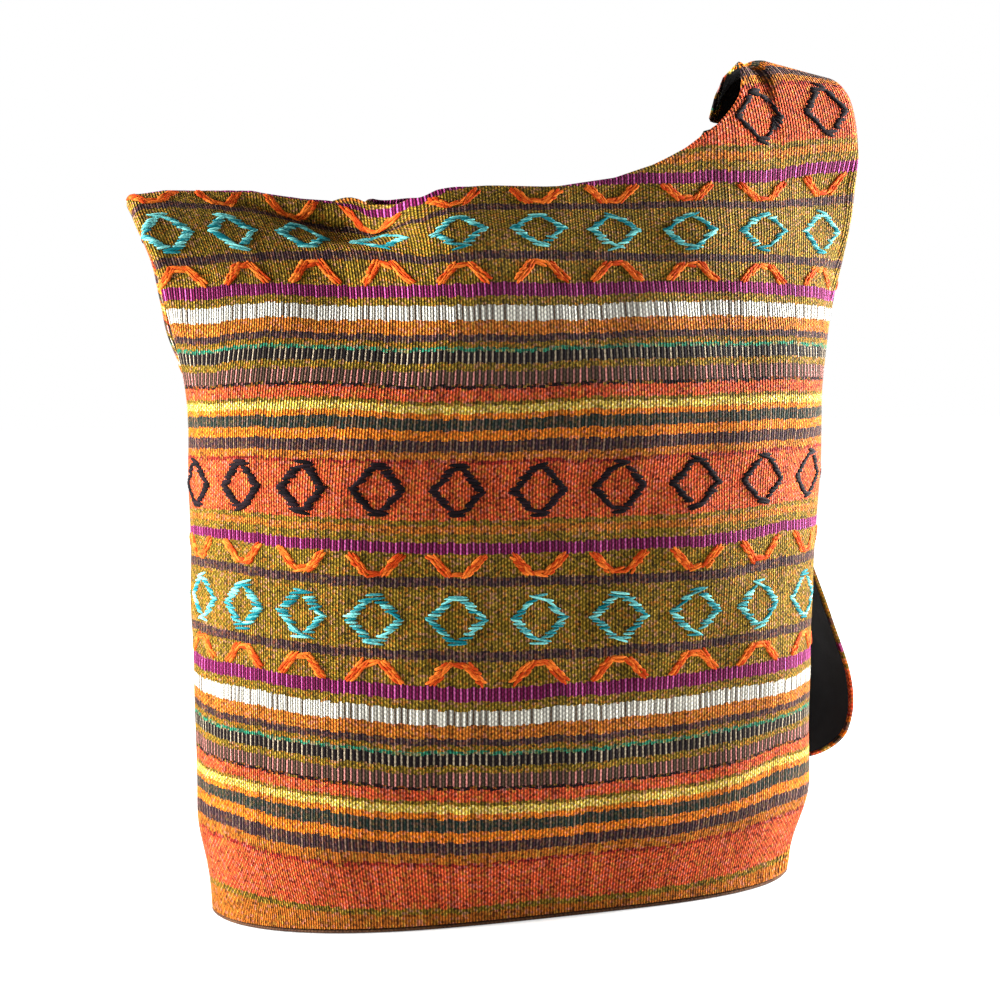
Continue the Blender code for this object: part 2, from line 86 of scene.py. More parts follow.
# Share of the height: closing, fullness, pinch and press of the section
RINGS = (
    (0.00, 0.00, 3.2, 0.50, 0.00),
    (0.03, 0.00, 3.2, 0.50, 0.00),
    (0.13, 0.00, 3.2, 0.50, 0.00),
    (0.30, 0.00, 3.2, 0.50, 0.00),
    (0.50, 0.00, 3.2, 0.50, 0.00),
    (0.63, 0.02, 3.1, 0.51, 0.00),
    (0.69, 0.10, 3.0, 0.55, 0.05),
    (0.75, 0.25, 2.8, 0.62, 0.18),
    (0.82, 0.50, 2.5, 0.73, 0.42),
    (0.88, 0.73, 2.25, 0.84, 0.61),
    (0.94, 0.91, 2.1, 0.94, 0.74),
    (1.00, 1.00, 2.0, 1.00, 0.76),
    (1.10, 1.00, 2.0, 1.00, 0.76),
)
# The cut edge: distance from the nearer side line, height on the cloth on the right and the left
NECKLINE = (
    (0.054, 0.506, 0.506),
    (0.065, 0.506, 0.467),
    (0.071, 0.472, 0.457),
    (0.089, 0.440, 0.432),
    (0.111, 0.421, 0.411),
    (0.134, 0.410, 0.400),
    (0.156, 0.402, 0.395),
    (0.180, 0.396, 0.392),
    (0.215, 0.392, 0.392),
)
BACK_NARROWER = 0.011
ROOT_ROOM = 0.017
# Height on the cloth, and how much wider the strap's front half is there than its plain width
STRAP_WIDER = ((0.506, 0.011), (0.535, 0.024), (0.580, 0.018), (0.660, 0.000))
# How far the woven pattern is drawn round the bag and down it, in mm, at places on the cloth:
# a height in mm, then a value for each distance along in DRAWN_AT
DRAWN_AT = (0, 40, 80, 120, 170, 220, 270, 310, 350, 390, 420, 445.5, 500, 560, 780, 860, 891)
DRAWN_ROUND = (
    (162, 10, 14, 15.5, 15, 15.5, 18, 19, 19, 16, 3.5, -9.5, -14, -8, 0, 0, 8, 10),
    (226, 8, 9, 12, 15.5, 17, 18.5, 18.5, 17, 14, 4, -5.5, -10, -6, 0, 0, 6, 8),
    (365, -18, -14.5, -8.5, -0.5, 4.5, 5.5, 8, 5, 2, -2.5, -12.5, -16, -9, 0, 0, -12, -18),
)
DRAWN_DOWN = (
    (0, -4, -4, -4, -2, -1, -1, -1.5, -2, -4, -7, -9, -9, -5, 0, 0, -3, -4),
    (67, -12, -12, -12, -6.5, -3, -2.5, -3.5, -6.5, -11.5, -17.5, -20, -20.5, -12, 0, 0, -8, -12),
    (113, -5.5, -5.5, -5.5, -3.5, -1, -1.5, -2, -4.5, -8.5, -14, -18, -20, -12, 0, 0, -4, -5.5),
    (162, -3.5, -3.5, -3, -1.5, -1, -1.5, -3, -4.5, -6, -11, -13, -13.5, -8, 0, 0, -2.5, -3.5),
    (198, -5, -5, -5, -2, -0.5, 0, -0.5, -2, -4, -8, -9.5, -9, -5.5, 0, 0, -3.5, -5),
    (226, -1.5, -1.5, -1.5, -1.5, -1, 0.5, 1, -0.5, -2, -3, -2, -1.5, -1, 0, 0, -1, -1.5),
    (268, -2.5, -2.5, -2.5, -2, -1, 0, 0.5, 0.5, -1, -1.5, 0.5, 1, 0.5, 0, 0, -1.5, -2.5),
    (318, -2.5, -2.5, -2.5, -4, -3, -1.5, -0.5, -1, -1.5, -1, 1, 1.5, 1, 0, 0, -1.5, -2.5),
    (330, -1, -1, -2, -3.5, -3.5, -2, 0, 0, -0.5, 0, 2, 2, 1, 0, 0, -1, -1),
    (365, -1.5, -1.5, -1, 1.5, 0, -2, -1, 0.5, 7, 9, 10.5, 11, 6.5, 0, 0, -1, -1.5),
    (392, -3, 2, 9, 10, 9, 9, 9, 10, 12, 15, 18, 19.5, 12, 8, 8, 0, -3),
)
# How far the rim has sunk: place along X, in mm at the front and at the back
SINKING = (
    (-0.230, 1.0, 1.0),
    (-0.190, 1.0, 1.0),
    (-0.168, 4.5, 5.0),
    (-0.145, 9.0, 10.0),
    (-0.119, 17.0, 21.0),
    (-0.100, 23.5, 27.0),
    (-0.086, 23.0, 21.0),
    (-0.078, 15.0, 10.0),
    (-0.072, 7.5, 8.0),
    (-0.060, 4.5, 8.0),
    (-0.044, 5.5, 7.0),
    (0.000, 5.5, 7.0),
    (0.040, 3.5, 8.0),
    (0.070, 1.5, 14.0),
    (0.095, 0.0, 15.0),
    (0.120, 0.0, 12.0),
    (0.140, 0.0, 6.0),
    (0.155, 0.0, 0.0),
)
# Side line of the strap: place, the way its outer face looks (x, z), fold of its halves in degrees
STRAP_PATH = (
    (0.2070, 0.000, 0.420, 1.0, 0.0, 71),
    (0.2060, 0.007, 0.441, 1.0, 0.0, 73),
    (0.2045, 0.025, 0.451, 1.0, 0.0, 75),
    (0.2030, 0.043, 0.443, 1.0, 0.0, 75),
    (0.2020, 0.053, 0.420, 1.0, 0.0, 73),
    (0.2010, 0.064, 0.372, 1.0, 0.0, 66),
    (0.2020, 0.078, 0.315, 1.0, 0.0, 48),
    (0.2060, 0.090, 0.250, 1.0, 0.0, 30),
    (0.2130, 0.097, 0.190, 1.0, 0.0, 16),
    (0.2310, 0.099, 0.135, 1.0, 0.0, 8),
    (0.2410, 0.099, 0.092, 1.0, -0.1, 4),
    (0.2370, 0.100, 0.064, 0.8, -0.6, 2),
    (0.2210, 0.101, 0.051, 0.4, -0.9, 0),
    (0.1960, 0.104, 0.047, 0.0, -1.0, 0),
    (0.1620, 0.113, 0.053, -0.2, -1.0, 0),
    (0.1220, 0.130, 0.064, -0.3, -0.95, 0),
    (0.0550, 0.140, 0.095, -0.4, -0.9, 0),
    (-0.0200, 0.142, 0.143, -0.5, -0.85, 4),
    (-0.0900, 0.136, 0.198, -0.6, -0.8, 12),
    (-0.1450, 0.116, 0.252, -0.75, -0.65, 30),
    (-0.1760, 0.082, 0.298, -0.9, -0.4, 55),
    (-0.1870, 0.056, 0.324, -1.0, -0.1, 76),
    (-0.1935, 0.042, 0.344, -1.0, 0.0, 84),
    (-0.2030, 0.033, 0.364, -1.0, 0.0, 86),
    (-0.2090, 0.019, 0.3765, -1.0, 0.0, 86),
    (-0.2080, 0.006, 0.3635, -1.0, 0.0, 85),
)

# The weave: height of each stripe's lower edge in mm, ground colour, second colour, how far the
# second colour comes as upright dashes, and how far it comes as the dots of a plain weave
STRIPES = (
    (0.0, "rust", "olive", 0.0, 0.6),
    (3.2, "olive", "straw", 0.0, 0.7),
    (6.3, "coral", "peach", 0.0, 0.8),
    (28.4, "red", "coral", 0.0, 0.4),
    (30.5, "rust", "olive", 0.0, 0.7),
    (35.4, "plum", "mauve", 0.6, 0.0),
    (41.4, "orange", "flame", 0.0, 0.6),
    (47.0, "teal", "mauve", 0.6, 0.0),
    (52.7, "orange", "flame", 0.0, 0.6),
    (55.7, "yellow", "cream", 0.0, 0.5),
    (59.9, "olive", "straw", 0.0, 0.6),
    (62.0, "coral", "peach", 0.0, 0.6),
    (68.2, "black", "red", 0.0, 0.3),
    (69.9, "bark", "rose", 1.0, 0.0),
    (76.7, "olive", "straw", 0.0, 0.6),
    (80.4, "black", "ash", 1.0, 0.0),
    (87.2, "green", "teal", 0.0, 0.6),
    (88.8, "olive", "rust", 0.0, 0.8),
    (92.0, "plum", "mauve", 0.5, 0.0),
    (96.0, "rust", "amber", 0.0, 0.7),
    (103.2, "cream", "bark", 1.0, 0.0),
    (110.6, "olive", "straw", 0.0, 0.6),
    (115.8, "magenta", "pink", 1.0, 0.0),
    (123.2, "olive", "straw", 0.0, 0.7),
    (135.8, "plum", "mauve", 0.5, 0.0),
    (141.3, "olive", "straw", 0.0, 0.7),
    (173.9, "plum", "mauve", 0.5, 0.0),
    (179.0, "olive", "straw", 0.0, 0.7),
    (192.0, "magenta", "pink", 1.0, 0.0),
    (198.1, "olive", "straw", 0.0, 0.6),
    (203.1, "rust", "amber", 0.0, 0.7),
    (206.8, "olive", "straw", 0.0, 0.6),
    (210.5, "coral", "peach", 0.0, 0.8),
    (239.6, "red", "coral", 0.0, 0.4),
    (241.2, "rust", "amber", 0.0, 0.6),
    (245.7, "plum", "mauve", 0.6, 0.0),
    (250.9, "orange", "flame", 0.0, 0.6),
)
REPEAT_START = 47.0
REPEAT = 209.8

# Supplementary weft motifs: kind, height of the middle in mm, yarn
MOTIFS = (
    ("hump", 129.6, "orange_yarn"),
    ("diamond", 156.6, "turquoise_yarn"),
    ("vee", 185.4, "orange_yarn"),
    ("dark_diamond", 225.4, "black_yarn"),
)

# sRGB colours of the dyed yarns
YARNS = {
    "olive": "#7C641A",
    "straw": "#C4963A",
    "rust": "#C26A22",
    "amber": "#E39A3C",
    "orange": "#EE7A1C",
    "flame": "#F7A03A",
    "coral": "#D8502C",
    "peach": "#EE8450",
    "red": "#9C2A22",
    "magenta": "#64103C",
    "pink": "#BC5494",
    "cream": "#EFEBDD",
    "yellow": "#F0CC4E",
    "plum": "#36222A",
    "mauve": "#8E7460",
    "bark": "#4A3A2C",
    "rose": "#C77F78",
    "black": "#150D0F",
    "ash": "#A89880",
    "green": "#2F8A68",
    "teal": "#22302A",
}

CAMERA_PLACE = (-0.3623, -0.9958, 0.3003)
CAMERA_AIM = (0.0, 0.0, 0.2154)
CAMERA_LENS = 69.28
CAMERA_SHIFT = (-0.020, 0.0)


def linear(colour):
    """An sRGB hex colour as linear red, green, blue and 1."""
    parts = [int(colour[i:i + 2], 16) / 255 for i in (1, 3, 5)]
    return (*(p / 12.92 if p <= 0.04045 else ((p + 0.055) / 1.055) ** 2.4 for p in parts), 1.0)


def smooth(value):
    """An S-shaped step from 0 to 1."""
    value = np.clip(value, 0.0, 1.0)
    return value * value * (3 - 2 * value)


def unit(vectors):
    return vectors / np.maximum(np.linalg.norm(vectors, axis=-1, keepdims=True), 1e-12)


# ---------------------------------------------------------------- the cloth's shape

def near_side(along):
    """Distance from the nearer side line, positive to the front, and whether it is the right one."""
    along = along % AROUND
    from_right = np.where(along < AROUND / 2, along, along - AROUND)
    from_left = AROUND / 2 - along
    on_right = np.abs(from_right) < np.abs(from_left)
    return np.where(on_right, from_right, from_left), on_right


def neckline(along, margin=0.0):
    """The height of the cut edge."""
    near, on_right = near_side(along)
    narrower = BACK_NARROWER * smooth((near + 0.09) / 0.03) * (near < 0) * on_right
    near = np.abs(near) + margin + narrower
    rows = np.array(NECKLINE)
    return np.where(on_right, np.interp(near, rows[:, 0], rows[:, 1]),
                    np.interp(near, rows[:, 0], rows[:, 2]))


def drawn(along, up):
    """How far the pattern is drawn round the bag and down it at places on the cloth."""
    found = []
    for table in (DRAWN_ROUND, DRAWN_DOWN):
        values = np.array(table)
        column = np.interp(along % AROUND / MILLIMETRE, DRAWN_AT, np.arange(len(DRAWN_AT)))
        row = np.interp(up / MILLIMETRE, values[:, 0], np.arange(len(values)))
        c0 = np.minimum(column.astype(int), len(DRAWN_AT) - 2)
        r0 = np.minimum(row.astype(int), len(values) - 2)
        fc, fr = column - c0, row - r0
        low = values[r0, c0 + 1] * (1 - fc) + values[r0, c0 + 2] * fc
        high = values[r0 + 1, c0 + 1] * (1 - fc) + values[r0 + 1, c0 + 2] * fc
        found.append((low * (1 - fr) + high * fr) * MILLIMETRE)
    return found


def sunk(places):
    """Places on the cloth after its rim has sunk: the front's drop, and the back's behind it."""
    rows = np.array(SINKING)
    front = np.interp(places[..., 0], rows[:, 0], rows[:, 1])
    back = np.interp(places[..., 0], rows[:, 0], rows[:, 2])
    drop = front + (back - front) * smooth((places[..., 1] + 0.005) / 0.03)
    drop = drop * smooth((places[..., 2] - 0.345) / 0.04) * MILLIMETRE
    return places - np.stack((0 * drop, 0 * drop, drop), -1)


@functools.lru_cache(maxsize=None)
def ring_table():
    """Places on the body's rings, over shares of its height and distances along the cloth."""
    shares = np.linspace(0.0, 1.10, 111)
    rings = np.array(RINGS)
    kernel = np.exp(-np.linspace(-2, 2, 9) ** 2)
    kernel /= kernel.sum()
    profile = []
    for part in range(1, 5):
        line = np.interp(shares, rings[:, 0], rings[:, part])
        padded = np.pad(line, 4, mode="edge")
        profile.append(np.convolve(padded, kernel, mode="valid"))
    closing, fullness, pinch, press = profile
    foot = FOOT_ROUNDING * (1 - smooth(shares / 0.13))
    half_x = BODY_HALF[0] + (MOUTH_HALF[0] - BODY_HALF[0]) * closing - foot
    half_y = BODY_HALF[1] + (MOUTH_HALF[1] - BODY_HALF[1]) * closing - foot
    count = COLUMNS * 2
    table = np.zeros((len(shares), count + 1, 2))
    angles = np.linspace(0, math.pi / 2, 241)
    for row in range(len(shares)):
        x = half_x[row] * np.cos(angles)
        bow = np.maximum(0, 1 - np.cos(angles) ** fullness[row]) ** pinch[row]
        for side in (1, -1):
            y = half_y[row] * bow
            if side < 0:
                y = y * (1 - press[row] * smooth((x - PRESS_START) / PRESS_REACH))
            reach = np.concatenate(([0], np.cumsum(np.hypot(np.diff(x), np.diff(y)))))
            share = np.linspace(0, 1, count // 4 + 1)
            line_x = side * np.interp(share, reach / reach[-1], x)
            line_y = np.interp(share, reach / reach[-1], y)
            quarter = count // 4
            if side > 0:
                table[row, :quarter + 1] = np.stack((line_x, -line_y), 1)
                table[row, 3 * quarter:] = np.stack((line_x, line_y), 1)[::-1]
            else:
                table[row, quarter:2 * quarter + 1] = np.stack((line_x, -line_y), 1)[::-1]
                table[row, 2 * quarter:3 * quarter + 1] = np.stack((line_x, line_y), 1)
    steps = np.hypot(np.diff(shares) * (BODY_HEIGHT - FOOT), np.diff(half_y))
    heights = np.concatenate(([0], np.cumsum(steps)))
    return shares, heights, table


def on_ring(along, up):
    """Places on the stuffed body."""
    shares, heights, table = ring_table()
    share = np.interp(up, heights, shares) + np.maximum(up - heights[-1], 0) / BODY_HEIGHT
    row = np.clip(share / shares[-1], 0, 1) * (len(shares) - 1)
    column = (along % AROUND) / AROUND * (table.shape[1] - 1)
    r0 = np.minimum(row.astype(int), len(shares) - 2)
    c0 = np.minimum(column.astype(int), table.shape[1] - 2)
    fr, fc = (row - r0)[..., None], (column - c0)[..., None]
    flat = ((table[r0, c0] * (1 - fc) + table[r0, c0 + 1] * fc) * (1 - fr)
            + (table[r0 + 1, c0] * (1 - fc) + table[r0 + 1, c0 + 1] * fc) * fr)
    dip = DIP_DEPTH * np.exp(-((flat[..., 0] - DIP_PLACE) / DIP_WIDTH) ** 2)
    dip = dip * smooth((share - 0.82) / 0.16) * np.where(flat[..., 1] < 0, 1.0, 0.4)
    z = FOOT + share * (BODY_HEIGHT - FOOT) - dip
    taper = FOOT_TAPER * np.maximum(flat[..., 0] / BODY_HALF[0], 0) ** 3
    x = flat[..., 0] - taper * np.maximum(1 - z / TAPER_HEIGHT, 0)
    return np.stack((x, flat[..., 1], z), axis=-1)


@functools.lru_cache(maxsize=None)
def strap_curve():
    """The strap's side line: lengths, places, across, outer and fold along it."""
    values = np.array(STRAP_PATH)
    padded = np.concatenate((values[:1], values, values[-1:]))
    rows = []
    for index in range(len(values) - 1):
        a, b, c, d = padded[index:index + 4]
        for t in np.linspace(0, 1, 12, endpoint=False):
            rows.append(0.5 * (2 * b + (c - a) * t + (2 * a - 5 * b + 4 * c - d) * t * t
                               + (3 * b - a - 3 * c + d) * t ** 3))
    rows.append(values[-1])
    rows = np.array(rows)
    middle = rows[:, :3]
    run = unit(np.gradient(middle, axis=0))
    outer = np.stack((rows[:, 3], rows[:, 3] * 0, rows[:, 4]), 1)
    outer = unit(outer - run * np.sum(outer * run, axis=1, keepdims=True))
    across = np.cross(run, outer)
    length = np.concatenate(([0], np.cumsum(np.linalg.norm(np.diff(middle, axis=0), axis=1))))
    return length, middle, run, outer, across, rows[:, 5]


def on_band(reach, front):
    """Places on the strap, at a length along it and a distance towards its front edge."""
    length, middle, run, outer, across, fold = strap_curve()
    inside = np.clip(reach, 0, length[-1])
    parts = []
    for values in (middle, outer, across):
        parts.append(np.stack([np.interp(inside, length, values[:, i]) for i in range(3)], -1))
    place, out, cross = parts[0], unit(parts[1]), unit(parts[2])
    before = np.minimum(reach, 0)[..., None] * run[0]
    after = np.maximum(reach - length[-1], 0)[..., None] * run[-1]
    place = place + before + after
    lean = FRONT_LEAN * smooth(1 - inside / LEAN_REACH) * (front > 0)
    angle = np.radians(np.interp(inside, length, fold) + lean)
    bend_reach = np.interp(inside, length[[0, -1]], SIDE_BENDS)
    way = cross * np.where(front > 0, -1.0, 1.0)[..., None]
    bend = np.minimum(np.abs(front), bend_reach)
    steps = 12
    for index in range(steps):
        turn = angle * smooth((index + 0.5) / steps * bend / bend_reach)
        place = place + (way * np.cos(turn)[..., None] - out * np.sin(turn)[..., None]) * (
            bend / steps)[..., None]
    rest = (np.abs(front) - bend)[..., None]
    return place + (way * np.cos(angle)[..., None] - out * np.sin(angle)[..., None]) * rest


def waves(along, up):
    """Soft unevenness of a stuffed cloth, in metres: a few crossing waves of set lengths."""
    total = np.zeros_like(along)
    turn = 2 * math.pi / AROUND
    for count, rise, phase, size in ((3, 5.0, 0.4, 1.0), (5, -9.0, 2.1, 0.8), (8, 14.0, 4.0, 0.5),
                                     (13, -21.0, 1.2, 0.35), (17, 33.0, 5.3, 0.25)):
        total += size * np.sin(count * turn * along + rise * up * math.pi + phase)
    return total * 0.0011


class Cloth:
    """A grid of cloth: flat distances (along, up), folded places and inward normals."""

    def __init__(self, flat, places, closed):
        self.flat = flat
        self.places = places
        self.closed = closed
        self.normals = None

    def find_normals(self):
        if self.closed:
            alongs = np.roll(self.places, -1, 1) - np.roll(self.places, 1, 1)
        else:
            alongs = np.gradient(self.places, axis=1)
        self.normals = unit(np.cross(alongs, np.gradient(self.places, axis=0)))

    def rest(self, rows, columns):
        """Rest lengths between each point and the one some rows and columns on."""
        moved = np.roll(self.flat, (-rows, -columns), (0, 1))
        gap = moved - self.flat
        if self.closed:
            gap[..., 0] = (gap[..., 0] + AROUND / 2) % AROUND - AROUND / 2
        return np.linalg.norm(gap, axis=-1)

    def relax(self, target, pull, held, rounds):
        """Draws the grid's lengths towards the flat cloth's, while it is pulled to a target."""
        links = []
        height, width = self.flat.shape[:2]
        for rows, columns, stiff, short in ((0, 1, 1.0, 1.0), (1, 0, 1.0, 1.0), (1, 1, 0.4, 1.0),
                                            (1, -1, 0.4, 1.0), (0, 3, 0.5, 0.93), (3, 0, 0.5, 0.93)):
            rest = self.rest(rows, columns)
            valid = np.ones((height, width), bool)
            if rows:
                valid[height - rows:] = False
            if not self.closed and columns > 0:
                valid[:, width - columns:] = False
            if not self.closed and columns < 0:
                valid[:, :-columns] = False
            links.append((rows, columns, stiff, short, rest, valid))
        places = self.places
        free = ~held
        for index in range(rounds):
            move = np.zeros_like(places)
            count = np.zeros(places.shape[:2])
            for rows, columns, stiff, short, rest, valid in links:
                other = np.roll(places, (-rows, -columns), (0, 1))
                gap = other - places
                size = np.linalg.norm(gap, axis=-1)
                error = size - rest * short
                if short < 1:
                    error = np.minimum(error, 0)
                error = np.where(valid, error, 0) * stiff
                step = gap / np.maximum(size, 1e-9)[..., None] * (error / 2)[..., None]
                weight = valid * stiff
                move += step - np.roll(step, (rows, columns), (0, 1))
                count += weight + np.roll(weight, (rows, columns), (0, 1))
            move = move / count[..., None] * 1.6 + (target - places) * pull[..., None]
            places = places + move * free[..., None]
        self.places = places


@functools.lru_cache(maxsize=None)
def bag_cloth():
    """The body's cloth and the strap's, folded and relaxed."""
    shares, heights, table = ring_table()
    length = strap_curve()[0][-1]
    right_up = np.interp(RIGHT_ROOT / BODY_HEIGHT, shares, heights) + STRAP_PATH[0][2] - RIGHT_ROOT
    left_up = np.interp(LEFT_ROOT / BODY_HEIGHT, shares, heights) + STRAP_PATH[-1][2] - LEFT_ROOT

    along = np.arange(COLUMNS) * COLUMN
    near, on_right = near_side(along)
    top = neckline(along)
    tube = np.linspace(0, TUBE_HEIGHT, TUBE_ROWS + 1)[:-1, None] + 0 * along
    rim = TUBE_HEIGHT + np.linspace(0, 1, RIM_ROWS + 1)[:, None] * (top - TUBE_HEIGHT)
    up = np.concatenate((tube, rim))
    along, near, on_right = (np.broadcast_to(v, up.shape) for v in (along, near, on_right))

    ring = on_ring(along, up)
    ring_share = smooth((BLEND_REACH - np.abs(near)) / (BLEND_REACH - ROOT_REACH))
    root_up = np.where(on_right, right_up, left_up)
    band_share = ring_share * smooth((up - root_up + 0.030) / 0.034)
    reach = np.where(on_right, up - right_up, length - (up - left_up))
    band = on_band(reach, near)
    target = ring + (band - ring) * band_share[..., None]
    body = Cloth(np.stack((along, up), -1), target, True)
    body.find_normals()
    calm = smooth(up / 0.05) * (1 - band_share)
    target = target - body.normals * (waves(along, up) * calm)[..., None]
    held = np.zeros(up.shape, bool)
    held[0] = True
    held[-1] = np.abs(near[-1]) <= STRAP_EDGE + 1e-6
    pull = 0.05 + 0 * up
    pull[(band_share > 0.02) & (band_share < 0.98)] = 0.012
    body.places = target.copy()
    body.relax(target, pull, held, 160)
    body.places = sunk(body.places)
    # The left root's back half keeps behind its front half where both are folded over
    behind = smooth((-near - 0.04) / 0.03) * smooth((near + 0.17) / 0.03) * ~on_right
    body.places[..., 1] += ROOT_ROOM * behind * smooth((up - 0.325) / 0.03)
    body.find_normals()

    end = right_up + length - (SEAM_HEIGHT - left_up)
    rows = int(round((end - SEAM_HEIGHT) / STRAP_ROW)) + 1
    strap_up = np.linspace(SEAM_HEIGHT, end, rows)[:, None] + np.zeros(STRAP_COLUMNS)
    front = np.linspace(-STRAP_EDGE, STRAP_EDGE, STRAP_COLUMNS) + 0 * strap_up
    front = front * strap_share(front, strap_up)
    target = on_band(strap_up - right_up, front)
    strap = Cloth(np.stack((front, strap_up), -1), target, False)
    strap.find_normals()
    sway = np.sin(strap_up * 23 + front * 31) * 0.0016 + np.sin(strap_up * 47 - front * 60 + 1) * 0.0008
    calm = smooth((strap_up - SEAM_HEIGHT) / 0.05) * smooth((end - strap_up) / 0.05)
    target = target - strap.normals * (sway * calm)[..., None]
    held = np.zeros(strap_up.shape, bool)
    held[[0, -1]] = True
    strap.places = target.copy()
    strap.relax(target, 0.05 + 0 * front, held, 100)
    strap.places = sunk(strap.places)
    strap.find_normals()
    return body, strap, end


def woven(along, up):
    """The pattern's own place at a place on the body, as UVs."""
    moves = drawn(along, up)
    return np.stack((along - moves[0], up + moves[1]), -1)


def strap_slide(up, end):
    """How far the pattern is drawn sideways on the strap, as at its two roots."""
    return np.interp(up, (SEAM_HEIGHT, end), (-0.012, 0.013))


def body_rows(along, up):
    """Fractional rows of heights on the body's grid."""
    above = (up - TUBE_HEIGHT) / (neckline(along) - TUBE_HEIGHT) * RIM_ROWS + TUBE_ROWS
    return np.where(up < TUBE_HEIGHT, up / TUBE_HEIGHT * TUBE_ROWS, above)


def strap_share(front, up):
    """The strap's width as a share of its plain one: it grows out of the wider right root."""
    rows = np.array(STRAP_WIDER)
    return 1 + (front > 0) * np.interp(up, rows[:, 0], rows[:, 1]) / STRAP_EDGE


def sample(cloth, along, up):
    """Places and inward normals at flat points of a cloth."""
    height, width = cloth.flat.shape[:2]
    if cloth.closed:
        column = (along % AROUND) / COLUMN
        row = body_rows(along, up)
    else:
        column = (along / strap_share(along, up) + STRAP_EDGE) / COLUMN
        row = (up - cloth.flat[0, 0, 1]) / (cloth.flat[1, 0, 1] - cloth.flat[0, 0, 1])
    row = np.clip(row, 0, height - 1)
    r0 = np.minimum(row.astype(int), height - 2)
    fr = (row - r0)[..., None]
    if cloth.closed:
        c0 = column.astype(int) % width
        fc = (column - column.astype(int))[..., None]
        c1 = (c0 + 1) % width
    else:
        column = np.clip(column, 0, width - 1)
        c0 = np.minimum(column.astype(int), width - 2)
        fc = (column - c0)[..., None]
        c1 = c0 + 1
    found = []
    for values in (cloth.places, cloth.normals):
        found.append((values[r0, c0] * (1 - fc) + values[r0, c1] * fc) * (1 - fr)
                     + (values[r0 + 1, c0] * (1 - fc) + values[r0 + 1, c1] * fc) * fr)
    return found[0], unit(found[1])


# ---------------------------------------------------------------- meshes

def grid_faces(rows, columns, closed=False, flip=False, start=0):
    """Quads of a grid, as four columns of indices."""
    r, c = np.meshgrid(np.arange(rows - 1), np.arange(columns if closed else columns - 1),
                       indexing="ij")
    r, c = r.ravel(), c.ravel()
    after = (c + 1) % columns
    corners = [r * columns + c, r * columns + after, (r + 1) * columns + after,
               (r + 1) * columns + c]
    if not flip:
        corners = corners[::-1]
    return np.stack(corners, 1) + start


def make_piece(name, parts, material, tones=None):
    """A mesh object from (places, faces, uvs) parts, with its UV map and smooth shading."""
    places, faces, uvs = [], [], []
    start = 0
    for part_places, part_faces, part_uvs in parts:
        places.append(part_places.reshape(-1, 3))
        faces.append(part_faces + start)
        uvs.append(part_uvs.reshape(-1, 2))
        start += len(places[-1])
    places, faces, uvs = np.concatenate(places), np.concatenate(faces), np.concatenate(uvs)
    mesh = bpy.data.meshes.new(name)
    mesh.vertices.add(len(places))
    mesh.vertices.foreach_set("co", places.astype(np.float32).ravel())
    corners = faces.shape[1]
    mesh.loops.add(faces.size)
    mesh.loops.foreach_set("vertex_index", faces.astype(np.int32).ravel())
    mesh.polygons.add(len(faces))
    mesh.polygons.foreach_set("loop_start", np.arange(0, faces.size, corners, dtype=np.int32))
    mesh.polygons.foreach_set("loop_total", np.full(len(faces), corners, dtype=np.int32))
    loop_uvs = uvs[faces]
    wide = loop_uvs[..., 0].max(1) - loop_uvs[..., 0].min(1) > AROUND / 2
    loop_uvs[..., 0] += np.where(wide[:, None] & (loop_uvs[..., 0] < AROUND / 2), AROUND, 0)
    layer = mesh.uv_layers.new(name="cloth")
    layer.data.foreach_set("uv", loop_uvs.astype(np.float32).ravel())
    mesh.update(calc_edges=True)
    mesh.validate()
    if tones is not None:
        shade = mesh.attributes.new("tone", "FLOAT", "POINT")
        shade.data.foreach_set("value", tones.astype(np.float32))
    mesh.shade_smooth()
    mesh.materials.append(material)
    piece = bpy.data.objects.new(name, mesh)
    bpy.context.scene.collection.objects.link(piece)
    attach(piece, "root")
    return piece


def turned_hem(cloth, border, inward, profile):
    """A cut edge rolled over and turned in: border and inward are flat points and directions."""
    places, uvs = [], []
    for reach, depth in profile:
        flat = border + inward * max(reach, 0.0)
        spot, normal = sample(cloth, flat[:, 0], flat[:, 1])
        if reach < 0:
            inner = border + inward * 0.003
            spot_inner = sample(cloth, inner[:, 0], inner[:, 1])[0]
            spot = spot + unit(spot - spot_inner) * -reach
        places.append(spot + normal * depth)
        uvs.append(border - inward * abs(reach) - inward * depth)
    rows = len(profile)
    return (np.array(places), grid_faces(rows, len(border)), np.array(uvs))


def neck_border(front):
    """The body's cut edge on one side of the bag, as flat points and inward directions."""
    along = np.arange(24 if front else 20, 146) * COLUMN
    if not front:
        along = AROUND - along[::-1]
    border = np.stack((along, neckline(along)), 1)
    slope = np.gradient(border, axis=0)
    return border, unit(np.stack((slope[:, 1], -slope[:, 0]), 1))


# ---------------------------------------------------------------- materials

def add(tree, kind, inputs=(), **settings):
    """Adds one node with its settings, and fills or links its inputs."""
    made = tree.nodes.new(kind)
    for name, value in settings.items():
        setattr(made, name, value)
    for socket, value in dict(inputs).items():
        if isinstance(value, bpy.types.NodeSocket):
            tree.links.new(value, made.inputs[socket])
        else:
            made.inputs[socket].default_value = value
    return made


def new_material(name):
    made = bpy.data.materials.new(name)
    made.use_nodes = True
    tree = made.node_tree
    return made, tree, tree.nodes["Principled BSDF"]


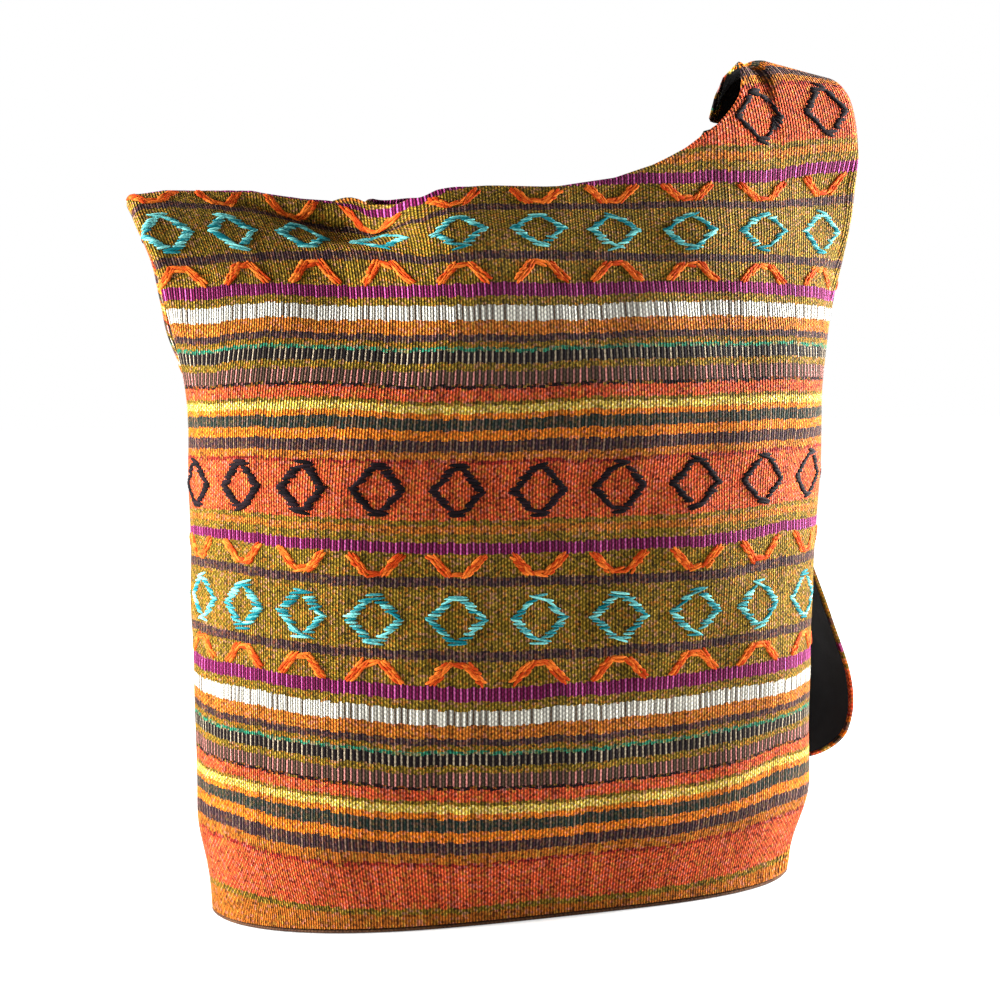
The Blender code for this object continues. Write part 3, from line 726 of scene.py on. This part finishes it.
def stripe_ramps(tree, height, choose):
    """Bands of colour over a height in mm: ramps hold up to 32 bands each."""
    half = (len(STRIPES) + 1) // 2
    top = REPEAT_START + REPEAT
    share = add(tree, "ShaderNodeMath", {0: height, 1: top}, operation="DIVIDE").outputs[0]
    ramps = []
    for rows in (STRIPES[:half], STRIPES[half:]):
        ramp = add(tree, "ShaderNodeValToRGB", {0: share})
        ramp.color_ramp.interpolation = "CONSTANT"
        stops = ramp.color_ramp.elements
        stops[0].position, stops[0].color = 0.0, choose(rows[0])
        stops.remove(stops[1])
        for row in rows[1:]:
            stops.new(row[0] / top).color = choose(row)
        ramps.append(ramp.outputs[0])
    upper = add(tree, "ShaderNodeMath", {0: height, 1: STRIPES[half][0]}, operation="GREATER_THAN")
    mixed = add(tree, "ShaderNodeMix", {0: upper.outputs[0], 6: ramps[0], 7: ramps[1]},
                data_type="RGBA")
    return mixed.outputs[2]


# Pitches of the weave in mm, each a whole share of the way round the bag. The true weave is finer
# than a pixel, so its threads are drawn twice as coarse.
DOT_PITCH = 3.4941
RIB_PITCH = 1.74706
ROW_PITCH = 2.5
DASH_PITCH = 3.4941
SPECK_ROW = 1.25
# Odd threads that show through: share from which each colour shows, its colour, its strength
SPECKS = (
    (0.00, "black", 0.0),
    (0.40, "black", 0.55),
    (0.55, "rust", 0.55),
    (0.68, "rose", 0.45),
    (0.78, "olive", 0.6),
    (0.88, "straw", 0.6),
    (0.93, "black", 0.8),
)


def handloom_cotton():
    """Handwoven striped cotton: dyed yarns in a rib weave. The eye gets coarse threads, dots of a
    second colour where the weft shows, upright dashes in some stripes, and ragged stripe edges."""
    made, tree, shader = new_material("handloom_cotton")
    uv = add(tree, "ShaderNodeUVMap", uv_map="cloth")
    scaled = add(tree, "ShaderNodeVectorMath", {0: uv.outputs[0], 3: 1 / MILLIMETRE},
                 operation="SCALE").outputs[0]
    split = add(tree, "ShaderNodeSeparateXYZ", {0: scaled})
    along, up = split.outputs[0], split.outputs[1]

    # Each warp thread has its own number, which wraps round the bag
    thread = add(tree, "ShaderNodeMath", {0: along, 1: RIB_PITCH}, operation="DIVIDE").outputs[0]
    thread = add(tree, "ShaderNodeMath", {0: thread}, operation="FLOOR").outputs[0]
    thread = add(tree, "ShaderNodeMath", {0: thread, 1: round(AROUND / MILLIMETRE / RIB_PITCH)},
                 operation="FLOORED_MODULO").outputs[0]
    chance = add(tree, "ShaderNodeTexWhiteNoise", {1: thread}, noise_dimensions="1D").outputs[0]
    drift = add(tree, "ShaderNodeTexNoise", {0: scaled, 2: 0.02, 3: 1.0}, noise_dimensions="2D")
    wander = add(tree, "ShaderNodeMath", {0: drift.outputs[0], 1: 3.0, 2: -1.5},
                 operation="MULTIPLY_ADD").outputs[0]
    jitter = add(tree, "ShaderNodeMath", {0: chance, 1: 1.3, 2: wander}, operation="MULTIPLY_ADD")
    level = add(tree, "ShaderNodeMath", {0: up, 1: jitter.outputs[0]}, operation="ADD").outputs[0]
    turns = add(tree, "ShaderNodeMath", {0: level, 1: REPEAT_START}, operation="SUBTRACT").outputs[0]
    turns = add(tree, "ShaderNodeMath", {0: turns, 1: REPEAT}, operation="DIVIDE").outputs[0]
    turns = add(tree, "ShaderNodeMath", {0: turns}, operation="FLOOR").outputs[0]
    turns = add(tree, "ShaderNodeMath", {0: turns, 1: 0.0}, operation="MAXIMUM").outputs[0]
    height = add(tree, "ShaderNodeMath", {0: turns, 1: -REPEAT, 2: level},
                 operation="MULTIPLY_ADD").outputs[0]

    ground = stripe_ramps(tree, height, lambda row: linear(YARNS[row[1]]))
    second = stripe_ramps(tree, height, lambda row: linear(YARNS[row[2]]))
    kinds = stripe_ramps(tree, height, lambda row: (row[3], row[4], 0.0, 1.0))
    kinds = add(tree, "ShaderNodeSeparateColor", {0: kinds})

    # Waves of the weave, each from -1 to 1
    cosines = []
    for source, pitch in ((along, DOT_PITCH), (up, ROW_PITCH), (along, RIB_PITCH),
                          (along, DASH_PITCH)):
        angle = add(tree, "ShaderNodeMath", {0: source, 1: 2 * math.pi / pitch},
                    operation="MULTIPLY").outputs[0]
        cosines.append(add(tree, "ShaderNodeMath", {0: angle}, operation="COSINE").outputs[0])
    dots = add(tree, "ShaderNodeMath", {0: cosines[0], 1: cosines[1]}, operation="MULTIPLY").outputs[0]
    crown = add(tree, "ShaderNodeMapRange", {0: dots, 1: 0.0, 2: 0.9}).outputs[0]
    dash = add(tree, "ShaderNodeMapRange", {0: cosines[3], 1: 0.30, 2: 0.80}).outputs[0]

    fleck = add(tree, "ShaderNodeTexNoise", {0: scaled, 2: 0.45, 3: 2.0}, noise_dimensions="2D")
    fleck = add(tree, "ShaderNodeMapRange", {0: fleck.outputs[0], 1: 0.35, 2: 0.65}).outputs[0]
    crown_share = add(tree, "ShaderNodeMath", {0: crown, 1: kinds.outputs[1]},
                      operation="MULTIPLY").outputs[0]
    crown_share = add(tree, "ShaderNodeMath", {0: crown_share, 1: fleck},
                      operation="MULTIPLY").outputs[0]
    number = add(tree, "ShaderNodeMath", {0: along, 1: 1 / DASH_PITCH, 2: 0.5},
                 operation="MULTIPLY_ADD").outputs[0]
    number = add(tree, "ShaderNodeMath", {0: number}, operation="FLOOR").outputs[0]
    number = add(tree, "ShaderNodeMath", {0: number, 1: round(AROUND / MILLIMETRE / DASH_PITCH)},
                 operation="FLOORED_MODULO").outputs[0]
    luck = add(tree, "ShaderNodeTexWhiteNoise", {1: number}, noise_dimensions="1D").outputs[0]
    luck = add(tree, "ShaderNodeMapRange", {0: luck, 1: 0.1, 2: 0.7, 3: 0.3, 4: 1.0}).outputs[0]
    dash = add(tree, "ShaderNodeMath", {0: dash, 1: luck}, operation="MULTIPLY").outputs[0]
    dash_share = add(tree, "ShaderNodeMath", {0: dash, 1: kinds.outputs[0]},
                     operation="MULTIPLY").outputs[0]
    share = add(tree, "ShaderNodeMath", {0: crown_share, 1: dash_share},
                operation="MAXIMUM").outputs[0]
    colour = add(tree, "ShaderNodeMix", {0: share, 6: ground, 7: second}, data_type="RGBA").outputs[2]

    # Odd threads of other colours show through in places
    row = add(tree, "ShaderNodeMath", {0: up, 1: SPECK_ROW}, operation="DIVIDE").outputs[0]
    row = add(tree, "ShaderNodeMath", {0: row}, operation="FLOOR").outputs[0]
    cell = add(tree, "ShaderNodeCombineXYZ", {0: thread, 1: row})
    odd = add(tree, "ShaderNodeTexWhiteNoise", {0: cell.outputs[0]}, noise_dimensions="2D").outputs[0]
    specks = add(tree, "ShaderNodeValToRGB", {0: odd})
    specks.color_ramp.interpolation = "CONSTANT"
    stops = specks.color_ramp.elements
    stops.remove(stops[1])
    for place, name, strength in SPECKS:
        stop = stops[0] if place == 0 else stops.new(place)
        stop.color = (*linear(YARNS[name])[:3], strength)
    quiet = add(tree, "ShaderNodeMath", {0: 0.85, 1: kinds.outputs[0]}, operation="SUBTRACT",
                use_clamp=True)
    speck_share = add(tree, "ShaderNodeMath", {0: specks.outputs[1], 1: quiet.outputs[0]},
                      operation="MULTIPLY").outputs[0]
    colour = add(tree, "ShaderNodeMix", {0: speck_share, 6: colour, 7: specks.outputs[0]},
                 data_type="RGBA").outputs[2]

    # Thread by thread the dye differs, and painted shade darkens the colour between the threads and
    # lightens it on their crowns
    relief = add(tree, "ShaderNodeMath", {0: dots, 1: 0.6, 2: cosines[2]},
                 operation="MULTIPLY_ADD").outputs[0]
    shade = add(tree, "ShaderNodeMapRange", {0: relief, 1: -1.2, 2: 1.2, 3: 0.14, 4: 1.5}).outputs[0]
    thread_tone = add(tree, "ShaderNodeMapRange", {0: chance, 3: 0.72, 4: 1.22}).outputs[0]
    tone = add(tree, "ShaderNodeMath", {0: shade, 1: thread_tone}, operation="MULTIPLY").outputs[0]
    colour = add(tree, "ShaderNodeVectorMath", {0: colour, 3: tone}, operation="SCALE").outputs[0]

    raised = add(tree, "ShaderNodeMath", {0: dash_share, 1: 0.8, 2: relief},
                 operation="MULTIPLY_ADD").outputs[0]
    bump = add(tree, "ShaderNodeBump", {0: 0.7, 1: 0.0006, "Height": raised})
    tree.links.new(colour, shader.inputs["Base Color"])
    tree.links.new(bump.outputs[0], shader.inputs["Normal"])
    shader.inputs["Roughness"].default_value = 0.88
    shader.inputs["Specular IOR Level"].default_value = 0.08
    return made


def plain_cotton(name, ground, light, pitch):
    """Plain woven cotton, piece dyed: an even fine weave that takes little light."""
    made, tree, shader = new_material(name)
    uv = add(tree, "ShaderNodeUVMap", uv_map="cloth")
    scaled = add(tree, "ShaderNodeVectorMath", {0: uv.outputs[0], 3: 1 / MILLIMETRE},
                 operation="SCALE").outputs[0]
    split = add(tree, "ShaderNodeSeparateXYZ", {0: scaled})
    cosines = []
    for source in split.outputs[:2]:
        angle = add(tree, "ShaderNodeMath", {0: source, 1: 2 * math.pi / pitch},
                    operation="MULTIPLY").outputs[0]
        cosines.append(add(tree, "ShaderNodeMath", {0: angle}, operation="COSINE").outputs[0])
    relief = add(tree, "ShaderNodeMath", {0: cosines[0], 1: cosines[1]},
                 operation="MULTIPLY").outputs[0]
    blotch = add(tree, "ShaderNodeTexNoise", {0: scaled, 2: 0.08, 3: 3.0}, noise_dimensions="2D")
    # Painted shade: the weave's relief lightens the colour where the threads rise and darkens it
    # between them, over random blotches of tone
    share = add(tree, "ShaderNodeMath", {0: relief, 1: 0.25, 2: blotch.outputs[0]},
                operation="MULTIPLY_ADD").outputs[0]
    colour = add(tree, "ShaderNodeMix", {0: share, 6: linear(ground), 7: linear(light)},
                 data_type="RGBA").outputs[2]
    bump = add(tree, "ShaderNodeBump", {0: 0.5, 1: 0.0003, "Height": relief})
    tree.links.new(colour, shader.inputs["Base Color"])
    tree.links.new(bump.outputs[0], shader.inputs["Normal"])
    shader.inputs["Roughness"].default_value = 0.9
    shader.inputs["Specular IOR Level"].default_value = 0.15
    return made


def spun_yarn(name, dark, light):
    """Loosely spun cotton yarn laid in over the weave: soft, streaked along its length."""
    made, tree, shader = new_material(name)
    uv = add(tree, "ShaderNodeUVMap", uv_map="cloth")
    stretched = add(tree, "ShaderNodeVectorMath", {0: uv.outputs[0], 1: (450.0, 1600.0, 0.0)},
                    operation="MULTIPLY").outputs[0]
    streak = add(tree, "ShaderNodeTexNoise", {0: stretched, 2: 1.0, 3: 2.0}, noise_dimensions="2D")
    tone = add(tree, "ShaderNodeAttribute", attribute_name="tone")
    share = add(tree, "ShaderNodeMath", {0: streak.outputs[0], 1: 1.4, 2: tone.outputs[2]},
                operation="MULTIPLY_ADD").outputs[0]
    share = add(tree, "ShaderNodeMapRange", {0: share, 1: 0.5, 2: 1.5}).outputs[0]
    colour = add(tree, "ShaderNodeMix", {0: share, 6: linear(dark), 7: linear(light)},
                 data_type="RGBA").outputs[2]
    bump = add(tree, "ShaderNodeBump", {0: 0.6, 1: 0.0004, "Height": streak.outputs[0]})
    tree.links.new(colour, shader.inputs["Base Color"])
    tree.links.new(bump.outputs[0], shader.inputs["Normal"])
    shader.inputs["Roughness"].default_value = 0.85
    shader.inputs["Specular IOR Level"].default_value = 0.1
    return made


# ---------------------------------------------------------------- stitches

def diamond_stitches(rows, width, height, length):
    """Flat stitches of one hollow diamond: place, length and slant."""
    stitches = []
    pitch = 2 * height / rows
    for index in range(rows):
        rise = (index + 0.5) * pitch - height
        reach = width * (1 - abs(rise) / (height + pitch / 2))
        if reach < length * 0.62:
            stitches.append((0.0, rise, reach * 2 + length, 0.0))
        else:
            for side in (-1, 1):
                stitches.append((side * reach, rise, length, -side * math.copysign(9, rise)))
    return stitches


def arch_stitches(sign, width, height):
    """Flat stitches of one hump, or of one vee where sign is -1."""
    stitches = [(0.0, sign * height * 0.45, width * 0.72, 0.0),
                (0.6, sign * height * 0.32, width * 0.60, 0.0)]
    for side in (-1, 1):
        for step in range(5):
            share = step / 4
            reach = width * (0.96 - 0.55 * share)
            rise = height * (0.76 * share - 0.42)
            stitches.append((side * reach, sign * rise, 6.0, -side * sign * 44))
            stitches.append((side * (reach - 1.7), sign * rise, 5.0, -side * sign * 40))
            stitches.append((side * (reach + 1.6), sign * (rise + 0.6), 4.6, -side * sign * 36))
    return stitches


MOTIF_STITCHES = {
    "diamond": diamond_stitches(16, 14.0, 13.4, 7.0),
    "dark_diamond": diamond_stitches(16, 13.6, 14.0, 6.4),
    "hump": arch_stitches(1, 13.5, 11.0),
    "vee": arch_stitches(-1, 13.5, 11.0),
}
STITCH_PROFILE = ((-1.0, 0.15), (-0.86, 0.62), (-0.5, 0.95), (0.0, 1.0), (0.5, 0.95), (0.86, 0.62),
                  (1.0, 0.15))


def yarn_stitches(kinds, radius, lift):
    """Places, faces, UVs and tones of the stitches of some kinds of motif, on body and strap."""
    body, strap, strap_end = bag_cloth()
    chance = np.random.default_rng(sum(len(kind) for kind in kinds) * 7)
    parts, tones = [], []
    for cloth, low, high in ((body, 0.0, SEAM_HEIGHT), (strap, SEAM_HEIGHT, strap_end)):
        flat = []
        for kind, middle, yarn in MOTIFS:
            if kind not in kinds:
                continue
            for repeat in range(-1, int(high / (REPEAT * MILLIMETRE)) + 1):
                centre_up = (middle + repeat * REPEAT) * MILLIMETRE
                if repeat < 0 or centre_up + 0.02 < low or centre_up - 0.02 > high:
                    continue
                centres = range(20) if cloth.closed else range(-1, 2)
                for number in centres:
                    for x, y, length, slant in MOTIF_STITCHES[kind]:
                        flat.append((number * MOTIF_PITCH + x * MILLIMETRE,
                                     centre_up + y * MILLIMETRE, length * MILLIMETRE, slant))
        flat = np.array(flat)
        flat[:, 0] += chance.normal(0, 0.00030, len(flat))
        flat[:, 1] += chance.normal(0, 0.00022, len(flat))
        flat[:, 2] *= chance.uniform(0.86, 1.14, len(flat))
        flat[:, 3] = np.radians(flat[:, 3] + chance.normal(0, 9, len(flat)))
        half = flat[:, 2] / 2
        if cloth.closed:
            along, up = flat[:, 0], flat[:, 1]
            for index in range(5):
                moves = drawn(along, up)
                along, up = flat[:, 0] + moves[0], flat[:, 1] - moves[1]
            flat[:, 0], flat[:, 1] = along, up
            keep = flat[:, 1] < neckline(flat[:, 0], half) - 0.0015
            keep &= flat[:, 1] < SEAM_HEIGHT - 0.001
        else:
            flat[:, 0] += strap_slide(flat[:, 1], strap_end)
            keep = np.abs(flat[:, 0]) + half < STRAP_EDGE - 0.001
            keep &= (flat[:, 1] > low + 0.001) & (flat[:, 1] < high - 0.001)
        flat, half = flat[keep], half[keep]
        count = len(flat)
        sections, points = len(STITCH_PROFILE), 6
        grid = np.zeros((count, sections, points, 3))
        uvs = np.zeros((count, sections, points, 2))
        for index, (step, size) in enumerate(STITCH_PROFILE):
            along = flat[:, 0] + np.cos(flat[:, 3]) * half * step
            up = flat[:, 1] + np.sin(flat[:, 3]) * half * step
            for point in range(points):
                turn = math.pi * point / (points - 1)
                side = math.cos(turn) * radius * size
                rise = math.sin(turn) * lift * size - 0.0002
                place, normal = sample(cloth, along - np.sin(flat[:, 3]) * side,
                                       up + np.cos(flat[:, 3]) * side)
                grid[:, index, point] = place - normal * rise
                uvs[:, index, point] = np.stack((half * step + flat[:, 0] * 3,
                                                 side + flat[:, 1] * 3 + 0 * half), 1)
        quads = grid_faces(sections, points)
        faces = (quads[None] + (np.arange(count) * sections * points)[:, None, None]).reshape(-1, 4)
        parts.append((grid, faces, uvs))
        tones.append(np.repeat(chance.uniform(-0.45, 0.55, count), sections * points))
    return parts, np.concatenate(tones)


# ---------------------------------------------------------------- settings

class BagSizes(bpy.types.PropertyGroup):
    """Sizes of the cloth and its finish."""
    cloth_thickness: FloatProperty(name="Cloth thickness", description="Thickness of the striped cloth",
                                   default=0.0016, unit="LENGTH", precision=4)
    lining_gap: FloatProperty(name="Lining gap", description="From the striped cloth to the lining",
                              default=0.0006, unit="LENGTH", precision=4)
    hem_width: FloatProperty(name="Hem width", description="Width of the turned-in hem",
                             default=0.007, unit="LENGTH", precision=3)
    stitch_radius: FloatProperty(name="Yarn radius", description="Half the width of a motif's yarn",
                                 default=0.0011, unit="LENGTH", precision=5)
    stitch_lift: FloatProperty(name="Yarn lift", description="How far a motif's yarn stands up",
                               default=0.0011, unit="LENGTH", precision=5)


class BagColours(bpy.types.PropertyGroup):
    """Colours of the plain parts."""
    floor: FloatVectorProperty(name="Floor", description="Colour of the floor", subtype="COLOR",
                               size=4, default=linear("#D2D2D0"), min=0, max=1)


def hem_profile(sizes):
    """Reach from the edge and depth of a rolled and turned-in hem."""
    thick = sizes.cloth_thickness
    return ((0.0, 0.0), (-0.35 * thick, 0.12 * thick), (-0.5 * thick, 0.5 * thick),
            (-0.35 * thick, 0.88 * thick), (0.0, thick), (0.4 * sizes.hem_width, thick * 1.05),
            (0.9 * sizes.hem_width, thick), (sizes.hem_width, thick * 0.7))


# ---------------------------------------------------------------- operators

class BAG_OT_striped_cloth(bpy.types.Operator):
    """Makes the body's and the strap's striped cloth with their turned-in hems"""
    bl_idname = "bag.striped_cloth"
    bl_label = "Striped cloth"

    def execute(self, context):
        sizes = context.scene.bag_sizes
        body, strap, strap_end = bag_cloth()
        cotton = handloom_cotton()
        profile = hem_profile(sizes)
        height, width = body.flat.shape[:2]
        parts = [(body.places, grid_faces(height, width, closed=True),
                  woven(body.flat[..., 0], body.flat[..., 1]))]
        for front in (True, False):
            border, inward = neck_border(front)
            places, faces, uvs = turned_hem(body, border, inward, profile)
            parts.append((places, faces, woven(uvs[..., 0], uvs[..., 1])))
        body_piece = make_piece("body_cloth_striped", parts, cotton)
        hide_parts("body_cloth")

        height, width = strap.flat.shape[:2]
        pattern = strap.flat.copy()
        pattern[..., 0] -= strap_slide(pattern[..., 1], strap_end)
        parts = [(strap.places, grid_faces(height, width), pattern)]
        for side in (-1, 1):
            border = strap.flat[:, 0 if side < 0 else -1].copy()
            if side < 0:
                border = border[::-1]
            inward = np.array((-side, 0.0)) + 0 * border
            parts.append(turned_hem(strap, border[::-1], inward, profile))
        strap_piece = make_piece("strap_cloth_striped", parts, cotton)
        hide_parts("strap_cloth")

        return {"FINISHED"}


class BAG_OT_lining(bpy.types.Operator):
    """Makes the black cotton lining of the body and the strap"""
    bl_idname = "bag.lining"
    bl_label = "Lining"

    def execute(self, context):
        sizes = context.scene.bag_sizes
        body, strap, strap_end = bag_cloth()
        black = plain_cotton("dyed_lining_cotton", "#08080A", "#18181A", 0.9)
        depth = sizes.cloth_thickness + sizes.lining_gap
        along = np.arange(0, COLUMNS, 2) * COLUMN
        near = np.abs(near_side(along)[0])
        top = neckline(along) - 0.4 * sizes.hem_width
        top[near < STRAP_EDGE + 0.5 * COLUMN] = SEAM_HEIGHT
        up = np.linspace(0, 1, 110)[:, None] * (top - 0.002) + 0.001
        along = along + 0 * up
        place, normal = sample(body, along, up)
        places = place + normal * (depth + 0.0004 * np.sin(along * 160) * np.sin(up * 90))[..., None]
        uvs = np.stack((along, up), -1)
        body_piece = make_piece("body_lining_black", [
            (places, grid_faces(*up.shape, closed=True, flip=True), uvs)], black)
        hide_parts("body_lining")

        edge = STRAP_EDGE - 0.4 * sizes.hem_width
        rows = strap.flat[::2, 0, 1]
        front = np.linspace(-edge, edge, 29) + 0 * rows[:, None]
        up = rows[:, None] + 0 * front
        front = front * strap_share(front, up)
        place, normal = sample(strap, front, up)
        ripple = 0.0008 * np.sin(up * 210 + front * 40) * smooth(1 - np.abs(front) / (edge + 0.03))
        places = place + normal * (depth + ripple)[..., None]
        strap_piece = make_piece("strap_lining_black", [
            (places, grid_faces(*up.shape, flip=True), np.stack((front, up), -1))], black)
        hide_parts("strap_lining")
        return {"FINISHED"}


class BAG_OT_base(bpy.types.Operator):
    """Makes the oval base and its lining"""
    bl_idname = "bag.base"
    bl_label = "Base"

    def execute(self, context):
        sizes = context.scene.bag_sizes
        count = 120
        along = np.arange(count) * AROUND / count
        outline = on_ring(along, 0 * along)[:, :2]
        # The base cloth is dark, so its rounded edge shows as a thin dark line under the body: partly
        # the base's own colour, partly painted shade under the bag's bottom edge
        base = plain_cotton("base_cotton", "#3A2420", "#6B4A30", 2.4)
        black = bpy.data.materials["dyed_lining_cotton"]
        edge = sizes.cloth_thickness
        for name, node, slot, material, low, high, inset in (
                ("base_panel", "base_cloth", "base_cotton", base, 0.0, 0.0024, 0.0),
                ("base_lining_black", "base_lining", "black_cotton", black, 0.0030, 0.0040,
                 edge + 0.003)):
            size = 1 - inset / 0.078
            half = (high - low) / 2
            profile = [(0.0, low), (0.3, low), (0.6, low), (0.8, low), (0.92, low)]
            profile += [(0.97 + 0.03 * math.sin(a), low + half - half * math.cos(a))
                        for a in np.linspace(0, math.pi, 7)]
            profile += [(0.92, high), (0.8, high), (0.6, high), (0.3, high), (0.0, high)]
            places = np.array([np.concatenate((outline * size * max(reach, 0.004),
                                               np.full((count, 1), z)), 1)
                               for reach, z in profile])
            piece = make_piece(name, [(places, grid_faces(len(profile), count, closed=True),
                                       places[..., :2])], material)
            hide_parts(node)
        return {"FINISHED"}


class BAG_OT_motif_yarn(bpy.types.Operator):
    """Lays in the coloured yarn of the diamonds, humps and vees"""
    bl_idname = "bag.motif_yarn"
    bl_label = "Motif yarn"

    def execute(self, context):
        sizes = context.scene.bag_sizes
        for name, kinds, share, dark, light in (
                ("turquoise_yarn", ("diamond",), 0.68, "#0C747E", "#9AF4EC"),
                ("black_yarn", ("dark_diamond",), 1.0, "#080406", "#21131A"),
                ("orange_yarn", ("hump", "vee"), 0.82, "#B83A0C", "#FF8A30")):
            parts, tones = yarn_stitches(kinds, sizes.stitch_radius * share, sizes.stitch_lift)
            piece = make_piece(name, parts, spun_yarn(name, dark, light), tones)
        return {"FINISHED"}


class BAG_OT_stage(bpy.types.Operator):
    """Sets up the pale floor, the soft lamps and the camera"""
    bl_idname = "bag.stage"
    bl_label = "Stage"

    def execute(self, context):
        scene = context.scene
        scene.view_settings.view_transform = "Standard"
        floor_mesh = bpy.data.meshes.new("floor")
        size = 6.0
        floor_mesh.from_pydata([(-size, -size, 0), (size, -size, 0), (size, size, 0),
                                (-size, size, 0)], [], [(0, 1, 2, 3)])
        floor = bpy.data.objects.new("floor", floor_mesh)
        scene.collection.objects.link(floor)
        made, tree, shader = new_material("pale_floor")
        shader.inputs["Base Color"].default_value = context.scene.bag_colours.floor
        shader.inputs["Roughness"].default_value = 1.0
        shader.inputs["Specular IOR Level"].default_value = 0.0
        rays = add(tree, "ShaderNodeLightPath")
        spot = add(tree, "ShaderNodeTexCoord").outputs["Object"]
        away = add(tree, "ShaderNodeVectorMath", {0: spot}, operation="LENGTH").outputs["Value"]
        away = add(tree, "ShaderNodeMapRange", {0: away, 1: 0.3, 2: 1.2, 3: 0.5, 4: 1.0}).outputs[0]
        glow = add(tree, "ShaderNodeEmission", {0: (1.0, 1.0, 1.0, 1.0), 1: away})
        seen = add(tree, "ShaderNodeMath", {0: rays.outputs["Is Camera Ray"],
                                            1: rays.outputs["Is Glossy Ray"]}, operation="MAXIMUM")
        seen = add(tree, "ShaderNodeMath", {0: seen.outputs[0],
                                            1: rays.outputs["Is Transmission Ray"]},
                   operation="MAXIMUM")
        nothing = add(tree, "ShaderNodeEmission", {1: 0.0})
        lit = add(tree, "ShaderNodeMixShader", {0: seen.outputs[0], 1: nothing.outputs[0],
                                                2: glow.outputs[0]})
        total = add(tree, "ShaderNodeAddShader", {0: shader.outputs[0], 1: lit.outputs[0]})
        tree.links.new(total.outputs[0], tree.nodes["Material Output"].inputs[0])
        floor_mesh.materials.append(made)

        world = bpy.data.worlds.new("studio")
        scene.world = world
        world.use_nodes = True
        tree = world.node_tree
        rays = add(tree, "ShaderNodeLightPath")
        seen = add(tree, "ShaderNodeMath", {0: rays.outputs["Is Camera Ray"],
                                            1: rays.outputs["Is Glossy Ray"]}, operation="MAXIMUM")
        seen = add(tree, "ShaderNodeMath", {0: seen.outputs[0],
                                            1: rays.outputs["Is Transmission Ray"]},
                   operation="MAXIMUM")
        strength = add(tree, "ShaderNodeMapRange", {0: seen.outputs[0], 3: 0.08, 4: 1.0})
        background = tree.nodes["Background"]
        background.inputs[0].default_value = (1.0, 1.0, 1.0, 1.0)
        tree.links.new(strength.outputs[0], background.inputs[1])

        for name, place, power, width in (
                ("softbox_left", (-1.5, 0.16, 0.6), 90.0, 0.6),
                ("softbox_right", (1.45, 0.06, 0.6), 112.0, 0.6),
                ("softbox_top", (-0.4, -1.2, 1.7), 2.0, 1.4)):
            lamp = bpy.data.lights.new(name, "AREA")
            lamp.shape = "SQUARE"
            lamp.size = width
            lamp.energy = power
            holder = bpy.data.objects.new(name, lamp)
            holder.location = place
            holder.rotation_euler = (Vector((0, 0, 0.22)) - Vector(place)).to_track_quat(
                "-Z", "Y").to_euler()
            scene.collection.objects.link(holder)

        lens = bpy.data.cameras.new("camera")
        lens.lens = CAMERA_LENS
        lens.sensor_width = 36.0
        lens.shift_x, lens.shift_y = CAMERA_SHIFT
        camera = bpy.data.objects.new("camera", lens)
        camera.location = CAMERA_PLACE
        camera.rotation_euler = (Vector(CAMERA_AIM) - Vector(CAMERA_PLACE)).to_track_quat(
            "-Z", "Y").to_euler()
        scene.collection.objects.link(camera)
        scene.camera = camera
        return {"FINISHED"}


class BAG_PT_panel(bpy.types.Panel):
    """Lists the bag's operators and settings"""
    bl_idname = "BAG_PT_panel"
    bl_label = "Shoulder bag"
    bl_space_type = "VIEW_3D"
    bl_region_type = "UI"
    bl_category = "Bag"

    def draw(self, context):
        for group in (context.scene.bag_sizes, context.scene.bag_colours):
            for name in group.__annotations__:
                self.layout.prop(group, name)
        for operator in OPERATORS:
            self.layout.operator(operator.bl_idname)


OPERATORS = (BAG_OT_striped_cloth, BAG_OT_lining, BAG_OT_base, BAG_OT_motif_yarn, BAG_OT_stage)
CLASSES = (BagSizes, BagColours, *OPERATORS, BAG_PT_panel)


def register():
    for cls in CLASSES:
        bpy.utils.register_class(cls)
    bpy.types.Scene.bag_sizes = PointerProperty(type=BagSizes)
    bpy.types.Scene.bag_colours = PointerProperty(type=BagColours)


def unregister():
    del bpy.types.Scene.bag_sizes
    del bpy.types.Scene.bag_colours
    for cls in reversed(CLASSES):
        bpy.utils.unregister_class(cls)


def main():
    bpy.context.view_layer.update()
    register()
    bpy.ops.bag.striped_cloth()
    bpy.ops.bag.lining()
    bpy.ops.bag.base()
    bpy.ops.bag.motif_yarn()
    bpy.ops.bag.stage()


if __name__ == "__main__":
    main()
